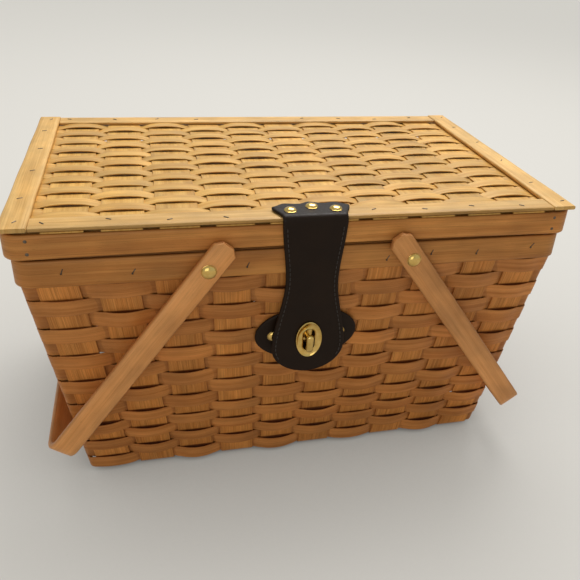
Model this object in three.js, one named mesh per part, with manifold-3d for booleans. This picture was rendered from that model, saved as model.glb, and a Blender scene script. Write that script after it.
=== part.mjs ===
// Woven wood picnic basket: flat uprights bent up from a woven base, weavers run round them in
// rings, a nailed rim, a hinged lid with a woven panel, two swing handles and a leather clasp.
// Millimetres, +Z up, the front faces -Y, and the origin is on the floor under the middle.
import * as THREE from 'three';
import { mergeVertices } from 'three/addons/utils/BufferGeometryUtils.js';
import Module from 'manifold-3d';

const wasm = await Module();
wasm.setup();

// Basket body
const LID_WIDTH = 450;
const LID_DEPTH = 280;
const RIM_TOP = 228.5;
const RIM_BAND_HEIGHT = 21.5;
const RIM_BAND_THICKNESS = 3;
const RIM_SIDE_INSET = 4;
const RIM_FRONT_INSET = 1;
const SIDE_TAPER = 28;
const FRONT_TAPER = 22;
const BAND_CORNER_RADIUS = 14;
const SEAT_GAP = 0.3;
const FUSE_DEPTH = 0.2;
const CUT_MARGIN = 4;
const SMALLEST_CORNER = 1;

// Weave
const FRONT_STAKES = 10;
const SIDE_STAKES = 5;
const STAKE_WIDTH = 30;
const STAKE_THICKNESS = 1.5;
const STAKE_BEND_RADIUS = 2.5;
const STAKE_TOP_DROP = 1;
const FRONT_CORNER_MARGIN = 3.95;
const SIDE_CORNER_MARGIN = 6.95;
const WEAVER_ROWS = 16;
const NARROW_ROWS = 6;
const NARROW_ROW_SHARE = 0.79;
const WEAVER_THICKNESS = 1.4;
const WEAVER_ROW_GAP = 0.8;
const WEAVE_CLEARANCE = 0.3;
const STAKE_EDGE_MARGIN = 0.4;

// Lid
const SEAM_GAP = 1.5;
const LID_BAND_HEIGHT = 19.5;
const LID_BAND_THICKNESS = 3;
const LID_STRIP_WIDTH = 20;
const LID_SIDE_STRIP_THICKNESS = 3.4;
const LID_END_STRIP_THICKNESS = 2.6;
const LID_FRAME_WIDTH = 16;
const LID_FRAME_HEIGHT = 6;
const LID_STAKES = 10;
const LID_STAKE_WIDTH = 32;
const LID_STAKE_MARGIN = 3.2;
const LID_WEAVERS = 19;
const LID_WEAVER_GAP = 0.8;
const LID_WEAVER_MARGIN = 1;
const LID_WEAVER_TENON = 1;
const LID_END_RECESS = 0.6;

// Handles
const HANDLE_WIDTH = 20;
const HANDLE_THICKNESS = 5;
const HANDLE_REACH = 211;
const HANDLE_TIP_LENGTH = 25;
const HANDLE_CORNER_CUT = 5;
const HANDLE_BEND_RADIUS = 16;
const HANDLE_FACETS = 2;
const HANDLE_STANDOFF = 3.6;
const HANDLE_WALL_GAP = 1;
const PIVOT_DROP = 11.5;
const PIVOT_GAP_NUMBER = 2;
const PIVOT_INSET = 3;
const RIVET_SHANK_RADIUS = 2.6;
const RIVET_HEAD_RADIUS = 6;
const RIVET_HEAD_HEIGHT = 3;
const RIVET_TAIL_HEIGHT = 1.5;
const RIVET_WASHER_RADIUS = 7;
const RIVET_SIDES = 8;

// Lid hinges
const HINGE_SPACING = 68;
const HINGE_LENGTH = 30;
const HINGE_KNUCKLE_LENGTH = 10;
const HINGE_LEAF_THICKNESS = 1.5;
const HINGE_LEAF_HEIGHT = 17;
const HINGE_KNUCKLE_RADIUS = 3;
const HINGE_PIN_RADIUS = 1.2;
const HINGE_AXIS_RISE = 6;
const HINGE_AXIS_OUT = 6;
const HINGE_CLEARANCE = 0.4;
const HINGE_SIDES = 8;

// Clasp
const LEATHER_THICKNESS = 2.5;
const STRAP_TOP_WIDTH = 51;
const STRAP_WAIST_WIDTH = 42;
const STRAP_TIP_WIDTH = 58;
const STRAP_TAB_EDGE = [[31, 19], [20, 25], [9.5, 23], [0, 27]];
const STRAP_LENGTH = 141;
const STRAP_WAIST_DROP = 52;
const STRAP_TIP_DROP = 116;
const STRAP_RIVET_SPREAD = 36;
const STRAP_RIVET_INSET = 9;
const STRAP_RIVET_STEP = 6;
const STRAP_RIVET_RADIUS = 5;
const STRAP_RIVET_HEIGHT = 2.4;
const STRAP_RIVET_SHANK = 1.6;
const STRAP_RIVET_SIDES = 8;
const LOCK_HEIGHT = 145;
const PLATE_WIDTH = 88;
const PLATE_HEIGHT = 54;
const PLATE_RIVET_SPREAD = 62;
const LOCK_BASE_WIDTH = 15;
const LOCK_BASE_HEIGHT = 26;
const LOCK_BASE_THICKNESS = 3.5;
const EYELET_WIDTH = 23;
const EYELET_HEIGHT = 35;
const EYELET_THICKNESS = 1.8;
const KNOB_WIDTH = 6;
const KNOB_HEIGHT = 17;
const KNOB_THICKNESS = 4;
const KNOB_POST_RADIUS = 2.2;
const KNOB_SLOT_CLEARANCE = 2;
const KNOB_STANDOFF = 1;

// Colours, roughness and metalness of the finishes
const STAKE_FINISH = { color: 0xc08a4e, roughness: 0.7, metalness: 0 };
const WEAVER_FINISH = { color: 0xc8995f, roughness: 0.7, metalness: 0 };
const LID_WEAVE_FINISH = { color: 0xe3c48c, roughness: 0.7, metalness: 0 };
const BAND_FINISH = { color: 0xcfa56a, roughness: 0.6, metalness: 0 };
const HANDLE_FINISH = { color: 0xd9b377, roughness: 0.55, metalness: 0 };
const LEATHER_FINISH = { color: 0x2a221c, roughness: 0.5, metalness: 0 };
const BRASS_FINISH = { color: 0xd8b765, roughness: 0.25, metalness: 1 };

// Levels and half sizes that follow from the sizes above
const WALL_TOP = RIM_TOP - RIM_BAND_HEIGHT;
const RIM_HALF_WIDTH = LID_WIDTH / 2 - RIM_SIDE_INSET;
const RIM_HALF_DEPTH = LID_DEPTH / 2 - RIM_FRONT_INSET;
const STAKE_INSET = RIM_BAND_THICKNESS + SEAT_GAP + STAKE_THICKNESS / 2;
const WEAVER_OFFSET = STAKE_THICKNESS / 2 + WEAVE_CLEARANCE + WEAVER_THICKNESS / 2;
const WEAVE_FACE = WEAVER_OFFSET + WEAVER_THICKNESS / 2;
const SIDE_SLOPE = SIDE_TAPER / WALL_TOP;
const FRONT_SLOPE = FRONT_TAPER / WALL_TOP;
const FRONT_ANGLE = Math.atan(FRONT_SLOPE);
const BASE_STEP = STAKE_THICKNESS + WEAVE_CLEARANCE;
const BASE_LEVEL = STAKE_THICKNESS / 2 + BASE_STEP;
const WEAVE_BOTTOM = BASE_LEVEL + BASE_STEP + STAKE_BEND_RADIUS + WEAVE_CLEARANCE;
const PIVOT_HEIGHT = RIM_TOP - PIVOT_DROP;
const LID_BOTTOM = RIM_TOP + SEAM_GAP;
const LID_BAND_TOP = LID_BOTTOM + LID_BAND_HEIGHT;
const LID_WEAVE_LEVEL = LID_BAND_TOP + SEAT_GAP + STAKE_THICKNESS / 2;
const LID_STRIP_BOTTOM = LID_WEAVE_LEVEL + STAKE_THICKNESS / 2 + SEAT_GAP;
const HINGE_AXIS_Y = LID_DEPTH / 2 + HINGE_AXIS_OUT;
const HINGE_AXIS_Z = LID_BOTTOM + HINGE_AXIS_RISE;

const halfWidthAt = (z) => RIM_HALF_WIDTH - STAKE_INSET - SIDE_SLOPE * Math.max(0, WALL_TOP - z);
const halfDepthAt = (z) => RIM_HALF_DEPTH - STAKE_INSET - FRONT_SLOPE * Math.max(0, WALL_TOP - z);

// The two kinds of upright fan out: their places grow with the wall's length at each height.
const FRONT_STAKE_PITCH = 2 * (halfWidthAt(0) - FRONT_CORNER_MARGIN) / FRONT_STAKES;
const SIDE_STAKE_PITCH = 2 * (halfDepthAt(0) - SIDE_CORNER_MARGIN) / SIDE_STAKES;
const FRONT_FAN = FRONT_STAKE_PITCH / halfWidthAt(0);
const SIDE_FAN = SIDE_STAKE_PITCH / halfDepthAt(0);
const PIVOT_X = PIVOT_GAP_NUMBER * FRONT_FAN * halfWidthAt(WALL_TOP) - PIVOT_INSET;
const fromMiddle = (index, count) => index - (count - 1) / 2;
const frontStakeX = (index, z) => fromMiddle(index, FRONT_STAKES) * FRONT_FAN * halfWidthAt(z);
const sideStakeY = (index, z) => fromMiddle(index, SIDE_STAKES) * SIDE_FAN * halfDepthAt(z);

const basket = new THREE.Group();
const point = (x, y, z) => new THREE.Vector3(x, y, z);
const CORNERS = [[-1, -1], [1, -1], [1, 1], [-1, 1]];
const HANDS = [['left', -1], ['right', 1]];
const FACES = [['front', -1], ['back', 1]];

function addPiece(name, geometry, finish, parent = basket) {
  const mesh = new THREE.Mesh(geometry, new THREE.MeshStandardMaterial(finish));
  mesh.name = name;
  parent.add(mesh);
  return mesh;
}

// Turns a closed geometry's faces outward when its signed volume is negative.
function facingOut(geometry) {
  const bare = geometry.index ? geometry.toNonIndexed() : geometry.clone();
  bare.deleteAttribute('normal');
  bare.deleteAttribute('uv');
  const merged = mergeVertices(bare, 1e-4);
  const place = merged.attributes.position;
  const corners = [0, 1, 2].map(() => new THREE.Vector3());
  const index = Array.from(merged.index.array);
  let volume = 0;
  const faces = [];
  for (let i = 0; i < index.length; i += 3) {
    const face = index.slice(i, i + 3);
    if (new Set(face).size === 3) {
      faces.push(face);
      corners.forEach((corner, j) => corner.fromBufferAttribute(place, face[j]));
      volume += corners[0].dot(corners[1].cross(corners[2]));
    }
  }
  merged.setIndex(faces.flatMap(([a, b, c]) => (volume < 0 ? [a, c, b] : [a, b, c])));
  return merged;
}

function toSolid(geometry) {
  const closed = facingOut(geometry);
  const vertProperties = new Float32Array(closed.attributes.position.array);
  const triVerts = new Uint32Array(closed.index.array);
  return new wasm.Manifold(new wasm.Mesh({ numProp: 3, vertProperties, triVerts }));
}

function fromSolid(body) {
  const mesh = body.getMesh();
  const geometry = new THREE.BufferGeometry();
  geometry.setAttribute('position', new THREE.BufferAttribute(mesh.vertProperties, 3));
  geometry.setIndex(new THREE.BufferAttribute(mesh.triVerts, 1));
  return geometry;
}

function cut(geometry, tools) {
  return fromSolid(tools.reduce((body, tool) => body.subtract(toSolid(tool)), toSolid(geometry)));
}

function join(geometries) {
  const bodies = geometries.map(toSolid);
  return fromSolid(bodies.reduce((whole, body) => whole.add(body)));
}

// Skins a run of four-cornered sections into one closed strip, or into a closed ring.
function strip(sections, ring = false) {
  const sides = sections[0].length;
  const positions = sections.flat().flatMap((corner) => corner.toArray());
  const index = [];
  const spans = ring ? sections.length : sections.length - 1;
  for (let i = 0; i < spans; i += 1) {
    const near = i * sides;
    const far = ((i + 1) % sections.length) * sides;
    for (let j = 0; j < sides; j += 1) {
      const k = (j + 1) % sides;
      index.push(near + j, near + k, far + k, near + j, far + k, far + j);
    }
  }
  if (!ring) {
    const last = (sections.length - 1) * sides;
    index.push(0, 2, 1, 0, 3, 2, last, last + 1, last + 2, last, last + 2, last + 3);
  }
  const geometry = new THREE.BufferGeometry();
  geometry.setAttribute('position', new THREE.Float32BufferAttribute(positions, 3));
  geometry.setIndex(index);
  return facingOut(geometry);
}

function box(low, high) {
  const size = high.clone().sub(low);
  const middle = low.clone().add(high).multiplyScalar(0.5);
  return new THREE.BoxGeometry(size.x, size.y, size.z).translate(middle.x, middle.y, middle.z);
}

// A cylinder along X or Y between two places on its axis.
function rod(axis, radius, start, end, across, up, sides) {
  const geometry = new THREE.CylinderGeometry(radius, radius, end - start, sides);
  const middle = (start + end) / 2;
  if (axis === 'x') return geometry.rotateZ(Math.PI / 2).translate(middle, across, up);
  return geometry.translate(across, middle, up);
}

function roundedRectangle(path, halfX, halfY, radius) {
  path.moveTo(radius - halfX, -halfY);
  path.lineTo(halfX - radius, -halfY);
  path.absarc(halfX - radius, radius - halfY, radius, -Math.PI / 2, 0);
  path.absarc(halfX - radius, halfY - radius, radius, 0, Math.PI / 2);
  path.absarc(radius - halfX, halfY - radius, radius, Math.PI / 2, Math.PI);
  path.absarc(radius - halfX, radius - halfY, radius, Math.PI, 1.5 * Math.PI);
  return path;
}

// Half the outline of a rivet's domed head, from its edge to its crown.
function domeProfile(radius, height, foot) {
  return [[radius, foot], [radius * Math.SQRT1_2, foot + height * Math.SQRT1_2], [0, foot + height]];
}

// Turns a profile of radius and height pairs round the Y axis.
function turned(profile, sides) {
  const points = profile.map(([radius, height]) => new THREE.Vector2(radius, height));
  return facingOut(new THREE.LatheGeometry(points, sides));
}

// A flat strip of wood bent round four corners and scarfed into a closed band.
function band(halfX, halfY, radius, thickness, bottom, height) {
  const outline = roundedRectangle(new THREE.Shape(), halfX, halfY, radius);
  const inside = roundedRectangle(new THREE.Path(), halfX - thickness, halfY - thickness,
    Math.max(radius - thickness, SMALLEST_CORNER));
  outline.holes.push(inside);
  const settings = { depth: height, bevelEnabled: false, curveSegments: 2 };
  return new THREE.ExtrudeGeometry(outline, settings).translate(0, 0, bottom);
}

// Uprights that run down the front, under the floor and up the back. They lie flat in the base.
const stakeTop = RIM_TOP - STAKE_TOP_DROP;
for (let i = 0; i < FRONT_STAKES; i += 1) {
  const foot = BASE_LEVEL + STAKE_BEND_RADIUS;
  const leg = (side, z, fan) => CORNERS.map(([across, out]) => point(
    frontStakeX(i, fan) + across * STAKE_WIDTH / 2,
    side * (halfDepthAt(z) + out * STAKE_THICKNESS / 2), z));
  const floor = (side) => CORNERS.map(([across, out]) => point(
    frontStakeX(i, foot) + across * STAKE_WIDTH / 2,
    side * (halfDepthAt(foot) - STAKE_BEND_RADIUS), BASE_LEVEL - out * STAKE_THICKNESS / 2));
  addPiece(`front_upright_${i + 1}`, strip([
    leg(-1, stakeTop, WALL_TOP), leg(-1, WALL_TOP, WALL_TOP), leg(-1, foot, foot), floor(-1),
    floor(1), leg(1, foot, foot), leg(1, WALL_TOP, WALL_TOP), leg(1, stakeTop, WALL_TOP),
  ]), STAKE_FINISH);
}

// Uprights that run across from side to side. In the base they pass over and under the others.
for (let j = 0; j < SIDE_STAKES; j += 1) {
  const levelAt = (i) => BASE_LEVEL + ((i + j) % 2 === 0 ? BASE_STEP : -BASE_STEP);
  const firstFoot = levelAt(0) + STAKE_BEND_RADIUS;
  const lastFoot = levelAt(FRONT_STAKES - 1) + STAKE_BEND_RADIUS;
  const leg = (side, z, fan) => CORNERS.map(([along, out]) => point(
    side * (halfWidthAt(z) + out * STAKE_THICKNESS / 2),
    sideStakeY(j, fan) + along * STAKE_WIDTH / 2, z));
  const floor = (x, level) => CORNERS.map(([along, out]) => point(
    x, sideStakeY(j, BASE_LEVEL) + along * STAKE_WIDTH / 2, level - out * STAKE_THICKNESS / 2));
  const crossing = [];
  for (let i = 0; i < FRONT_STAKES; i += 1) {
    const middle = frontStakeX(i, BASE_LEVEL + STAKE_BEND_RADIUS);
    const reach = STAKE_WIDTH / 2 + STAKE_EDGE_MARGIN;
    const left = i === 0 ? STAKE_BEND_RADIUS - halfWidthAt(firstFoot) : middle - reach;
    const right = i === FRONT_STAKES - 1 ? halfWidthAt(lastFoot) - STAKE_BEND_RADIUS : middle + reach;
    crossing.push(floor(left, levelAt(i)), floor(right, levelAt(i)));
  }
  addPiece(`side_upright_${j + 1}`, strip([
    leg(-1, stakeTop, WALL_TOP), leg(-1, WALL_TOP, WALL_TOP), leg(-1, firstFoot, firstFoot),
    ...crossing,
    leg(1, lastFoot, lastFoot), leg(1, WALL_TOP, WALL_TOP), leg(1, stakeTop, WALL_TOP),
  ]), STAKE_FINISH);
}

// Weavers: one closed ring to a row, passing outside one upright and inside the next. Each wall
// is walked with the basket on the left hand, so the rings run front, right, back, left.
const wideWall = { count: FRONT_STAKES, fan: FRONT_FAN, long: halfWidthAt, deep: halfDepthAt };
const shortWall = { count: SIDE_STAKES, fan: SIDE_FAN, long: halfDepthAt, deep: halfWidthAt };
const WALLS = [
  { ...wideWall, along: point(1, 0, 0), out: point(0, -1, 0) },
  { ...shortWall, along: point(0, 1, 0), out: point(1, 0, 0) },
  { ...wideWall, along: point(-1, 0, 0), out: point(0, 1, 0) },
  { ...shortWall, along: point(0, -1, 0), out: point(-1, 0, 0) },
];
// The lowest rows are narrower.
const WIDE_ROWS = WEAVER_ROWS - NARROW_ROWS;
const rowSpan = WALL_TOP - WEAVER_ROW_GAP - WEAVE_BOTTOM;
const rowPitch = rowSpan / (WIDE_ROWS + NARROW_ROWS * NARROW_ROW_SHARE);
let top = WALL_TOP - WEAVER_ROW_GAP;
for (let row = 1; row <= WEAVER_ROWS; row += 1) {
  const step = row > WIDE_ROWS ? rowPitch * NARROW_ROW_SHARE : rowPitch;
  const bottom = top - step + WEAVER_ROW_GAP;
  const sections = [];
  let stake = 1;
  for (const wall of WALLS) {
    for (let i = 0; i < wall.count; i += 1) {
      const offset = (row + stake) % 2 === 1 ? WEAVER_OFFSET : -WEAVER_OFFSET;
      for (const edge of [-1, 1]) {
        const at = (z, side) => {
          const along = fromMiddle(i, wall.count) * wall.fan * wall.long(z)
            + edge * (STAKE_WIDTH / 2 + STAKE_EDGE_MARGIN);
          const out = wall.deep(z) + offset + side * WEAVER_THICKNESS / 2;
          return wall.along.clone().multiplyScalar(along).addScaledVector(wall.out, out).setZ(z);
        };
        sections.push([at(bottom, 1), at(top, 1), at(top, -1), at(bottom, -1)]);
      }
      stake += 1;
    }
  }
  addPiece(`weaver_row_${row}`, strip(sections, true), WEAVER_FINISH);
  top -= step;
}

// Rim: an outer and an inner band with the tops of the uprights held between them. Handle rivets
// go through both, in the gap between two uprights.
const rivetHole = (x, z) => rod('y', RIVET_SHANK_RADIUS + SEAT_GAP, -LID_DEPTH, LID_DEPTH, x, z,
  RIVET_SIDES);
const rimHoles = HANDS.map(([, side]) => rivetHole(side * PIVOT_X, PIVOT_HEIGHT));
const innerInset = RIM_BAND_THICKNESS + STAKE_THICKNESS + 2 * SEAT_GAP;
for (const [place, inset] of [['outer', 0], ['inner', innerInset]]) {
  const ring = band(RIM_HALF_WIDTH - inset, RIM_HALF_DEPTH - inset, BAND_CORNER_RADIUS - inset,
    RIM_BAND_THICKNESS, WALL_TOP, RIM_BAND_HEIGHT);
  addPiece(`rim_band_${place}`, cut(ring, rimHoles), BAND_FINISH);
}

// Handle rivets: a domed head outside, a washer that spaces the arm off the rim, and a tail inside.
const armInside = RIM_HALF_DEPTH + HANDLE_STANDOFF;
const armOutside = armInside + HANDLE_THICKNESS;
const tailSeat = RIM_HALF_DEPTH - innerInset - RIM_BAND_THICKNESS - SEAT_GAP;
const handleRivetProfile = [
  [0, tailSeat - RIVET_TAIL_HEIGHT],
  [RIVET_HEAD_RADIUS, tailSeat - RIVET_TAIL_HEIGHT],
  [RIVET_HEAD_RADIUS, tailSeat],
  [RIVET_SHANK_RADIUS, tailSeat],
  [RIVET_SHANK_RADIUS, RIM_HALF_DEPTH + SEAT_GAP],
  [RIVET_WASHER_RADIUS, RIM_HALF_DEPTH + SEAT_GAP],
  [RIVET_WASHER_RADIUS, armInside - SEAT_GAP],
  [RIVET_SHANK_RADIUS, armInside - SEAT_GAP],
  [RIVET_SHANK_RADIUS, armOutside + SEAT_GAP],
  ...domeProfile(RIVET_HEAD_RADIUS, RIVET_HEAD_HEIGHT, armOutside + SEAT_GAP),
];
for (const [face, front] of FACES) {
  for (const [hand, side] of HANDS) {
    const rivet = turned(handleRivetProfile, RIVET_SIDES);
    const mesh = addPiece(`handle_rivet_${face}_${hand}`, rivet, BRASS_FINISH);
    mesh.position.set(side * PIVOT_X, 0, PIVOT_HEIGHT);
    mesh.rotation.x = front < 0 ? Math.PI : 0;
  }
}

// Handles: each is one strip steamed into a U, drawn here hanging straight down from its pivot
// and then swung out until its cross-piece rests against the side wall.
function handle() {
  const half = HANDLE_WIDTH / 2;
  const section = (y, z, inY, inZ, width) => [
    point(-width, y, z),
    point(width, y, z),
    point(width, y + inY, z + inZ),
    point(-width, y + inY, z + inZ),
  ];
  const arm = (face) => {
    const inward = -face * HANDLE_THICKNESS;
    const shoulder = HANDLE_TIP_LENGTH - HANDLE_CORNER_CUT;
    const stations = [
      section(face * armOutside, HANDLE_TIP_LENGTH, inward, 0, half - HANDLE_CORNER_CUT),
      section(face * armOutside, shoulder, inward, 0, half),
    ];
    for (let facet = 0; facet <= HANDLE_FACETS; facet += 1) {
      const turn = Math.PI / 2 * facet / HANDLE_FACETS;
      const y = face * (armOutside - HANDLE_BEND_RADIUS + HANDLE_BEND_RADIUS * Math.cos(turn));
      const z = HANDLE_BEND_RADIUS - HANDLE_REACH - HANDLE_BEND_RADIUS * Math.sin(turn);
      stations.push(section(y, z, inward * Math.cos(turn), HANDLE_THICKNESS * Math.sin(turn), half));
    }
    return stations;
  };
  const bail = strip([...arm(-1), ...arm(1).reverse()]);
  return cut(bail, [rivetHole(0, 0)]);
}
const restRadius = HANDLE_REACH - HANDLE_THICKNESS;
const restAcross = restRadius + SIDE_SLOPE * HANDLE_WIDTH / 2;
const restUp = SIDE_SLOPE * restRadius - HANDLE_WIDTH / 2;
const wallAtPivot = halfWidthAt(0) + WEAVE_FACE + HANDLE_WALL_GAP + SIDE_SLOPE * PIVOT_HEIGHT;
const restOut = (wallAtPivot - PIVOT_X) / Math.hypot(restAcross, restUp);
const handleRest = Math.asin(restOut) - Math.atan2(restUp, restAcross);
for (const [hand, side] of HANDS) {
  const mesh = addPiece(`handle_${hand}`, handle(), HANDLE_FINISH);
  mesh.position.set(side * PIVOT_X, 0, PIVOT_HEIGHT);
  mesh.rotation.y = -side * handleRest;
}

// Lid: a band that meets the rim, with four flat strips nailed along its top edge.
addPiece('lid_band', band(LID_WIDTH / 2, LID_DEPTH / 2, BAND_CORNER_RADIUS, LID_BAND_THICKNESS,
  LID_BOTTOM, LID_BAND_HEIGHT), BAND_FINISH);
for (const [hand, side] of HANDS) {
  const edge = side * LID_WIDTH / 2;
  const inside = edge - side * LID_STRIP_WIDTH;
  const top = LID_STRIP_BOTTOM + LID_SIDE_STRIP_THICKNESS;
  addPiece(`lid_strip_${hand}`, box(
    point(Math.min(edge, inside), -LID_DEPTH / 2, LID_STRIP_BOTTOM),
    point(Math.max(edge, inside), LID_DEPTH / 2, top)), BAND_FINISH);
}
const strapRivetPlaces = [[-1, 0], [0, 1], [1, 0]].map(([across, back]) => ({
  x: across * STRAP_RIVET_SPREAD / 2,
  y: STRAP_RIVET_INSET + back * STRAP_RIVET_STEP - LID_DEPTH / 2,
}));
const holeRadius = STRAP_RIVET_SHANK + SEAT_GAP;
const strapRivetHoles = strapRivetPlaces.map(({ x, y }) => new THREE.CylinderGeometry(
  holeRadius, holeRadius, LID_BAND_HEIGHT, STRAP_RIVET_SIDES,
).rotateX(Math.PI / 2).translate(x, y, LID_STRIP_BOTTOM));
for (const [face, side] of FACES) {
  const edge = side * LID_DEPTH / 2;
  const inside = edge - side * LID_STRIP_WIDTH;
  const reach = LID_WIDTH / 2 - LID_STRIP_WIDTH - SEAT_GAP;
  const top = LID_STRIP_BOTTOM + LID_END_STRIP_THICKNESS;
  const plain = box(
    point(-reach, Math.min(edge, inside), LID_STRIP_BOTTOM),
    point(reach, Math.max(edge, inside), top));
  addPiece(`lid_strip_${face}`, side < 0 ? cut(plain, strapRivetHoles) : plain, BAND_FINISH);
}

// Lid panel: flat stakes from front to back and weavers from side to side, on a frame inside the
// band. The stakes run out over the band, under the strips. The weavers are let into the side rails.
const frameHalfWidth = LID_WIDTH / 2 - LID_BAND_THICKNESS - SEAT_GAP;
const frameHalfDepth = LID_DEPTH / 2 - LID_BAND_THICKNESS - SEAT_GAP;
const frameTop = LID_WEAVE_LEVEL - STAKE_THICKNESS / 2 + FUSE_DEPTH;
const lidStakePitch = 2 * (frameHalfWidth - LID_FRAME_WIDTH - LID_STAKE_MARGIN) / LID_STAKES;
const panelPieces = [band(frameHalfWidth, frameHalfDepth,
  BAND_CORNER_RADIUS - LID_BAND_THICKNESS - SEAT_GAP, LID_FRAME_WIDTH,
  frameTop - LID_FRAME_HEIGHT, LID_FRAME_HEIGHT)];
for (const side of [-1, 1]) {
  const middle = side * (frameHalfWidth - LID_FRAME_WIDTH / 2);
  const reach = frameHalfDepth - LID_FRAME_WIDTH;
  panelPieces.push(box(point(middle - LID_FRAME_WIDTH / 2, -reach, frameTop - LID_FRAME_HEIGHT),
    point(middle + LID_FRAME_WIDTH / 2, reach, LID_STRIP_BOTTOM - SEAT_GAP)));
}
for (let i = 0; i < LID_STAKES; i += 1) {
  const x = fromMiddle(i, LID_STAKES) * lidStakePitch;
  const reach = LID_DEPTH / 2 - LID_END_RECESS;
  panelPieces.push(box(
    point(x - LID_STAKE_WIDTH / 2, -reach, LID_WEAVE_LEVEL - STAKE_THICKNESS / 2),
    point(x + LID_STAKE_WIDTH / 2, reach, LID_WEAVE_LEVEL + STAKE_THICKNESS / 2)));
}
const lidOpenDepth = 2 * (frameHalfDepth - LID_FRAME_WIDTH - LID_WEAVER_MARGIN);
const lidWeaverPitch = (lidOpenDepth + LID_WEAVER_GAP) / LID_WEAVERS;
const lidWeaverHalf = (lidWeaverPitch - LID_WEAVER_GAP) / 2;
for (let row = 0; row < LID_WEAVERS; row += 1) {
  const y = fromMiddle(row, LID_WEAVERS) * lidWeaverPitch;
  const section = (x, rise) => CORNERS.map(([across, up]) => point(
    x, y + across * lidWeaverHalf, LID_WEAVE_LEVEL + rise + up * WEAVER_THICKNESS / 2));
  const end = frameHalfWidth - LID_FRAME_WIDTH + LID_WEAVER_TENON;
  const riseOver = (i) => ((row + i) % 2 === 0 ? WEAVER_OFFSET : -WEAVER_OFFSET);
  const sections = [section(-end, -Math.sign(riseOver(0)) * FUSE_DEPTH)];
  for (let i = 0; i < LID_STAKES; i += 1) {
    const x = fromMiddle(i, LID_STAKES) * lidStakePitch;
    const reach = LID_STAKE_WIDTH / 2 + STAKE_EDGE_MARGIN;
    sections.push(section(x - reach, riseOver(i)), section(x + reach, riseOver(i)));
  }
  sections.push(section(end, -Math.sign(riseOver(LID_STAKES - 1)) * FUSE_DEPTH));
  panelPieces.push(strip(sections));
}
addPiece('lid_weave_panel', join(panelPieces), LID_WEAVE_FINISH);

// Butt hinges at the back, between the handles. The pin is riveted into the lower leaf.
for (const [hand, side] of HANDS) {
  const middle = side * HINGE_SPACING / 2;
  const half = HINGE_LENGTH / 2;
  const tongue = HINGE_KNUCKLE_LENGTH / 2;
  const slot = tongue + HINGE_CLEARANCE;
  const inner = LID_DEPTH / 2 + SEAT_GAP;
  const outer = inner + HINGE_LEAF_THICKNESS;
  const seat = RIM_HALF_DEPTH + SEAT_GAP;
  const lowerTop = RIM_TOP - SEAT_GAP;
  const upperBottom = HINGE_AXIS_Z + HINGE_KNUCKLE_RADIUS;
  const upperTop = LID_BAND_TOP - SEAT_GAP;
  const block = (from, to, y0, y1, z0, z1) => box(point(middle + from, y0, z0), point(middle + to, y1, z1));
  const barrel = (radius, from, to) => rod('x', radius, middle + from, middle + to,
    HINGE_AXIS_Y, HINGE_AXIS_Z, HINGE_SIDES);
  const lower = [
    block(-half, half, seat, outer, lowerTop - HINGE_LEAF_HEIGHT, lowerTop),
    barrel(HINGE_PIN_RADIUS, -half, half),
  ];
  for (const [from, to] of [[-half, -slot], [slot, half]]) {
    lower.push(
      block(from, to, inner, outer, lowerTop - FUSE_DEPTH, HINGE_AXIS_Z),
      block(from, to, inner, HINGE_AXIS_Y, HINGE_AXIS_Z - HINGE_KNUCKLE_RADIUS, HINGE_AXIS_Z),
      barrel(HINGE_KNUCKLE_RADIUS, from, to));
  }
  addPiece(`hinge_lower_leaf_${hand}`, join(lower), BRASS_FINISH);
  const upper = join([
    block(-half, half, inner, outer, upperBottom, upperTop),
    block(-tongue, tongue, inner, outer, HINGE_AXIS_Z, upperBottom + FUSE_DEPTH),
    block(-tongue, tongue, inner, HINGE_AXIS_Y, HINGE_AXIS_Z, upperBottom),
    barrel(HINGE_KNUCKLE_RADIUS, -tongue, tongue),
  ]);
  const pinHole = barrel(HINGE_PIN_RADIUS + SEAT_GAP, -half, half);
  addPiece(`hinge_upper_leaf_${hand}`, cut(upper, [pinHole]), BRASS_FINISH);
}

// Clasp, fixed half: a leather plate riveted to the front wall, with the turn-lock's base on it.
// Outlines are drawn upright, pushed out of the wall and set off from it.
function pushedOut(shape, depth, off, drop, steps) {
  const body = new THREE.ExtrudeGeometry(shape, { depth, bevelEnabled: false, curveSegments: steps });
  return body.rotateX(Math.PI / 2).translate(0, -off, -drop);
}
function oval(width, height) {
  const shape = new THREE.Shape();
  shape.absellipse(0, 0, width / 2, height / 2, 0, 2 * Math.PI, false);
  return shape;
}
function oblong(path, width, height) {
  const straight = (height - width) / 2;
  path.moveTo(width / 2, -straight);
  path.absarc(0, straight, width / 2, 0, Math.PI);
  path.absarc(0, -straight, width / 2, Math.PI, 2 * Math.PI);
  return path;
}
const wallFace = halfDepthAt(LOCK_HEIGHT) + WEAVE_FACE;
const plateGroup = new THREE.Group();
plateGroup.position.set(0, -wallFace, LOCK_HEIGHT);
plateGroup.rotation.x = FRONT_ANGLE;
basket.add(plateGroup);
const plateBody = pushedOut(oval(PLATE_WIDTH, PLATE_HEIGHT), LEATHER_THICKNESS, SEAT_GAP, 0, 8);
const plateFront = SEAT_GAP + LEATHER_THICKNESS;
const plateRivetProfile = [[0, 0], ...domeProfile(STRAP_RIVET_RADIUS, STRAP_RIVET_HEIGHT, 0)];
const plateRivets = HANDS.map(([, side]) => turned(plateRivetProfile, STRAP_RIVET_SIDES)
  .rotateX(Math.PI).translate(side * PLATE_RIVET_SPREAD / 2, FUSE_DEPTH - plateFront, 0));
addPiece('clasp_backing_plate', join([plateBody, ...plateRivets]), LEATHER_FINISH, plateGroup);
const baseShape = oval(LOCK_BASE_WIDTH, LOCK_BASE_HEIGHT);
const baseHole = new THREE.Path();
baseHole.absarc(0, 0, KNOB_POST_RADIUS + SEAT_GAP, 0, 2 * Math.PI, true);
baseShape.holes.push(baseHole);
const baseBack = plateFront + SEAT_GAP;
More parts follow.
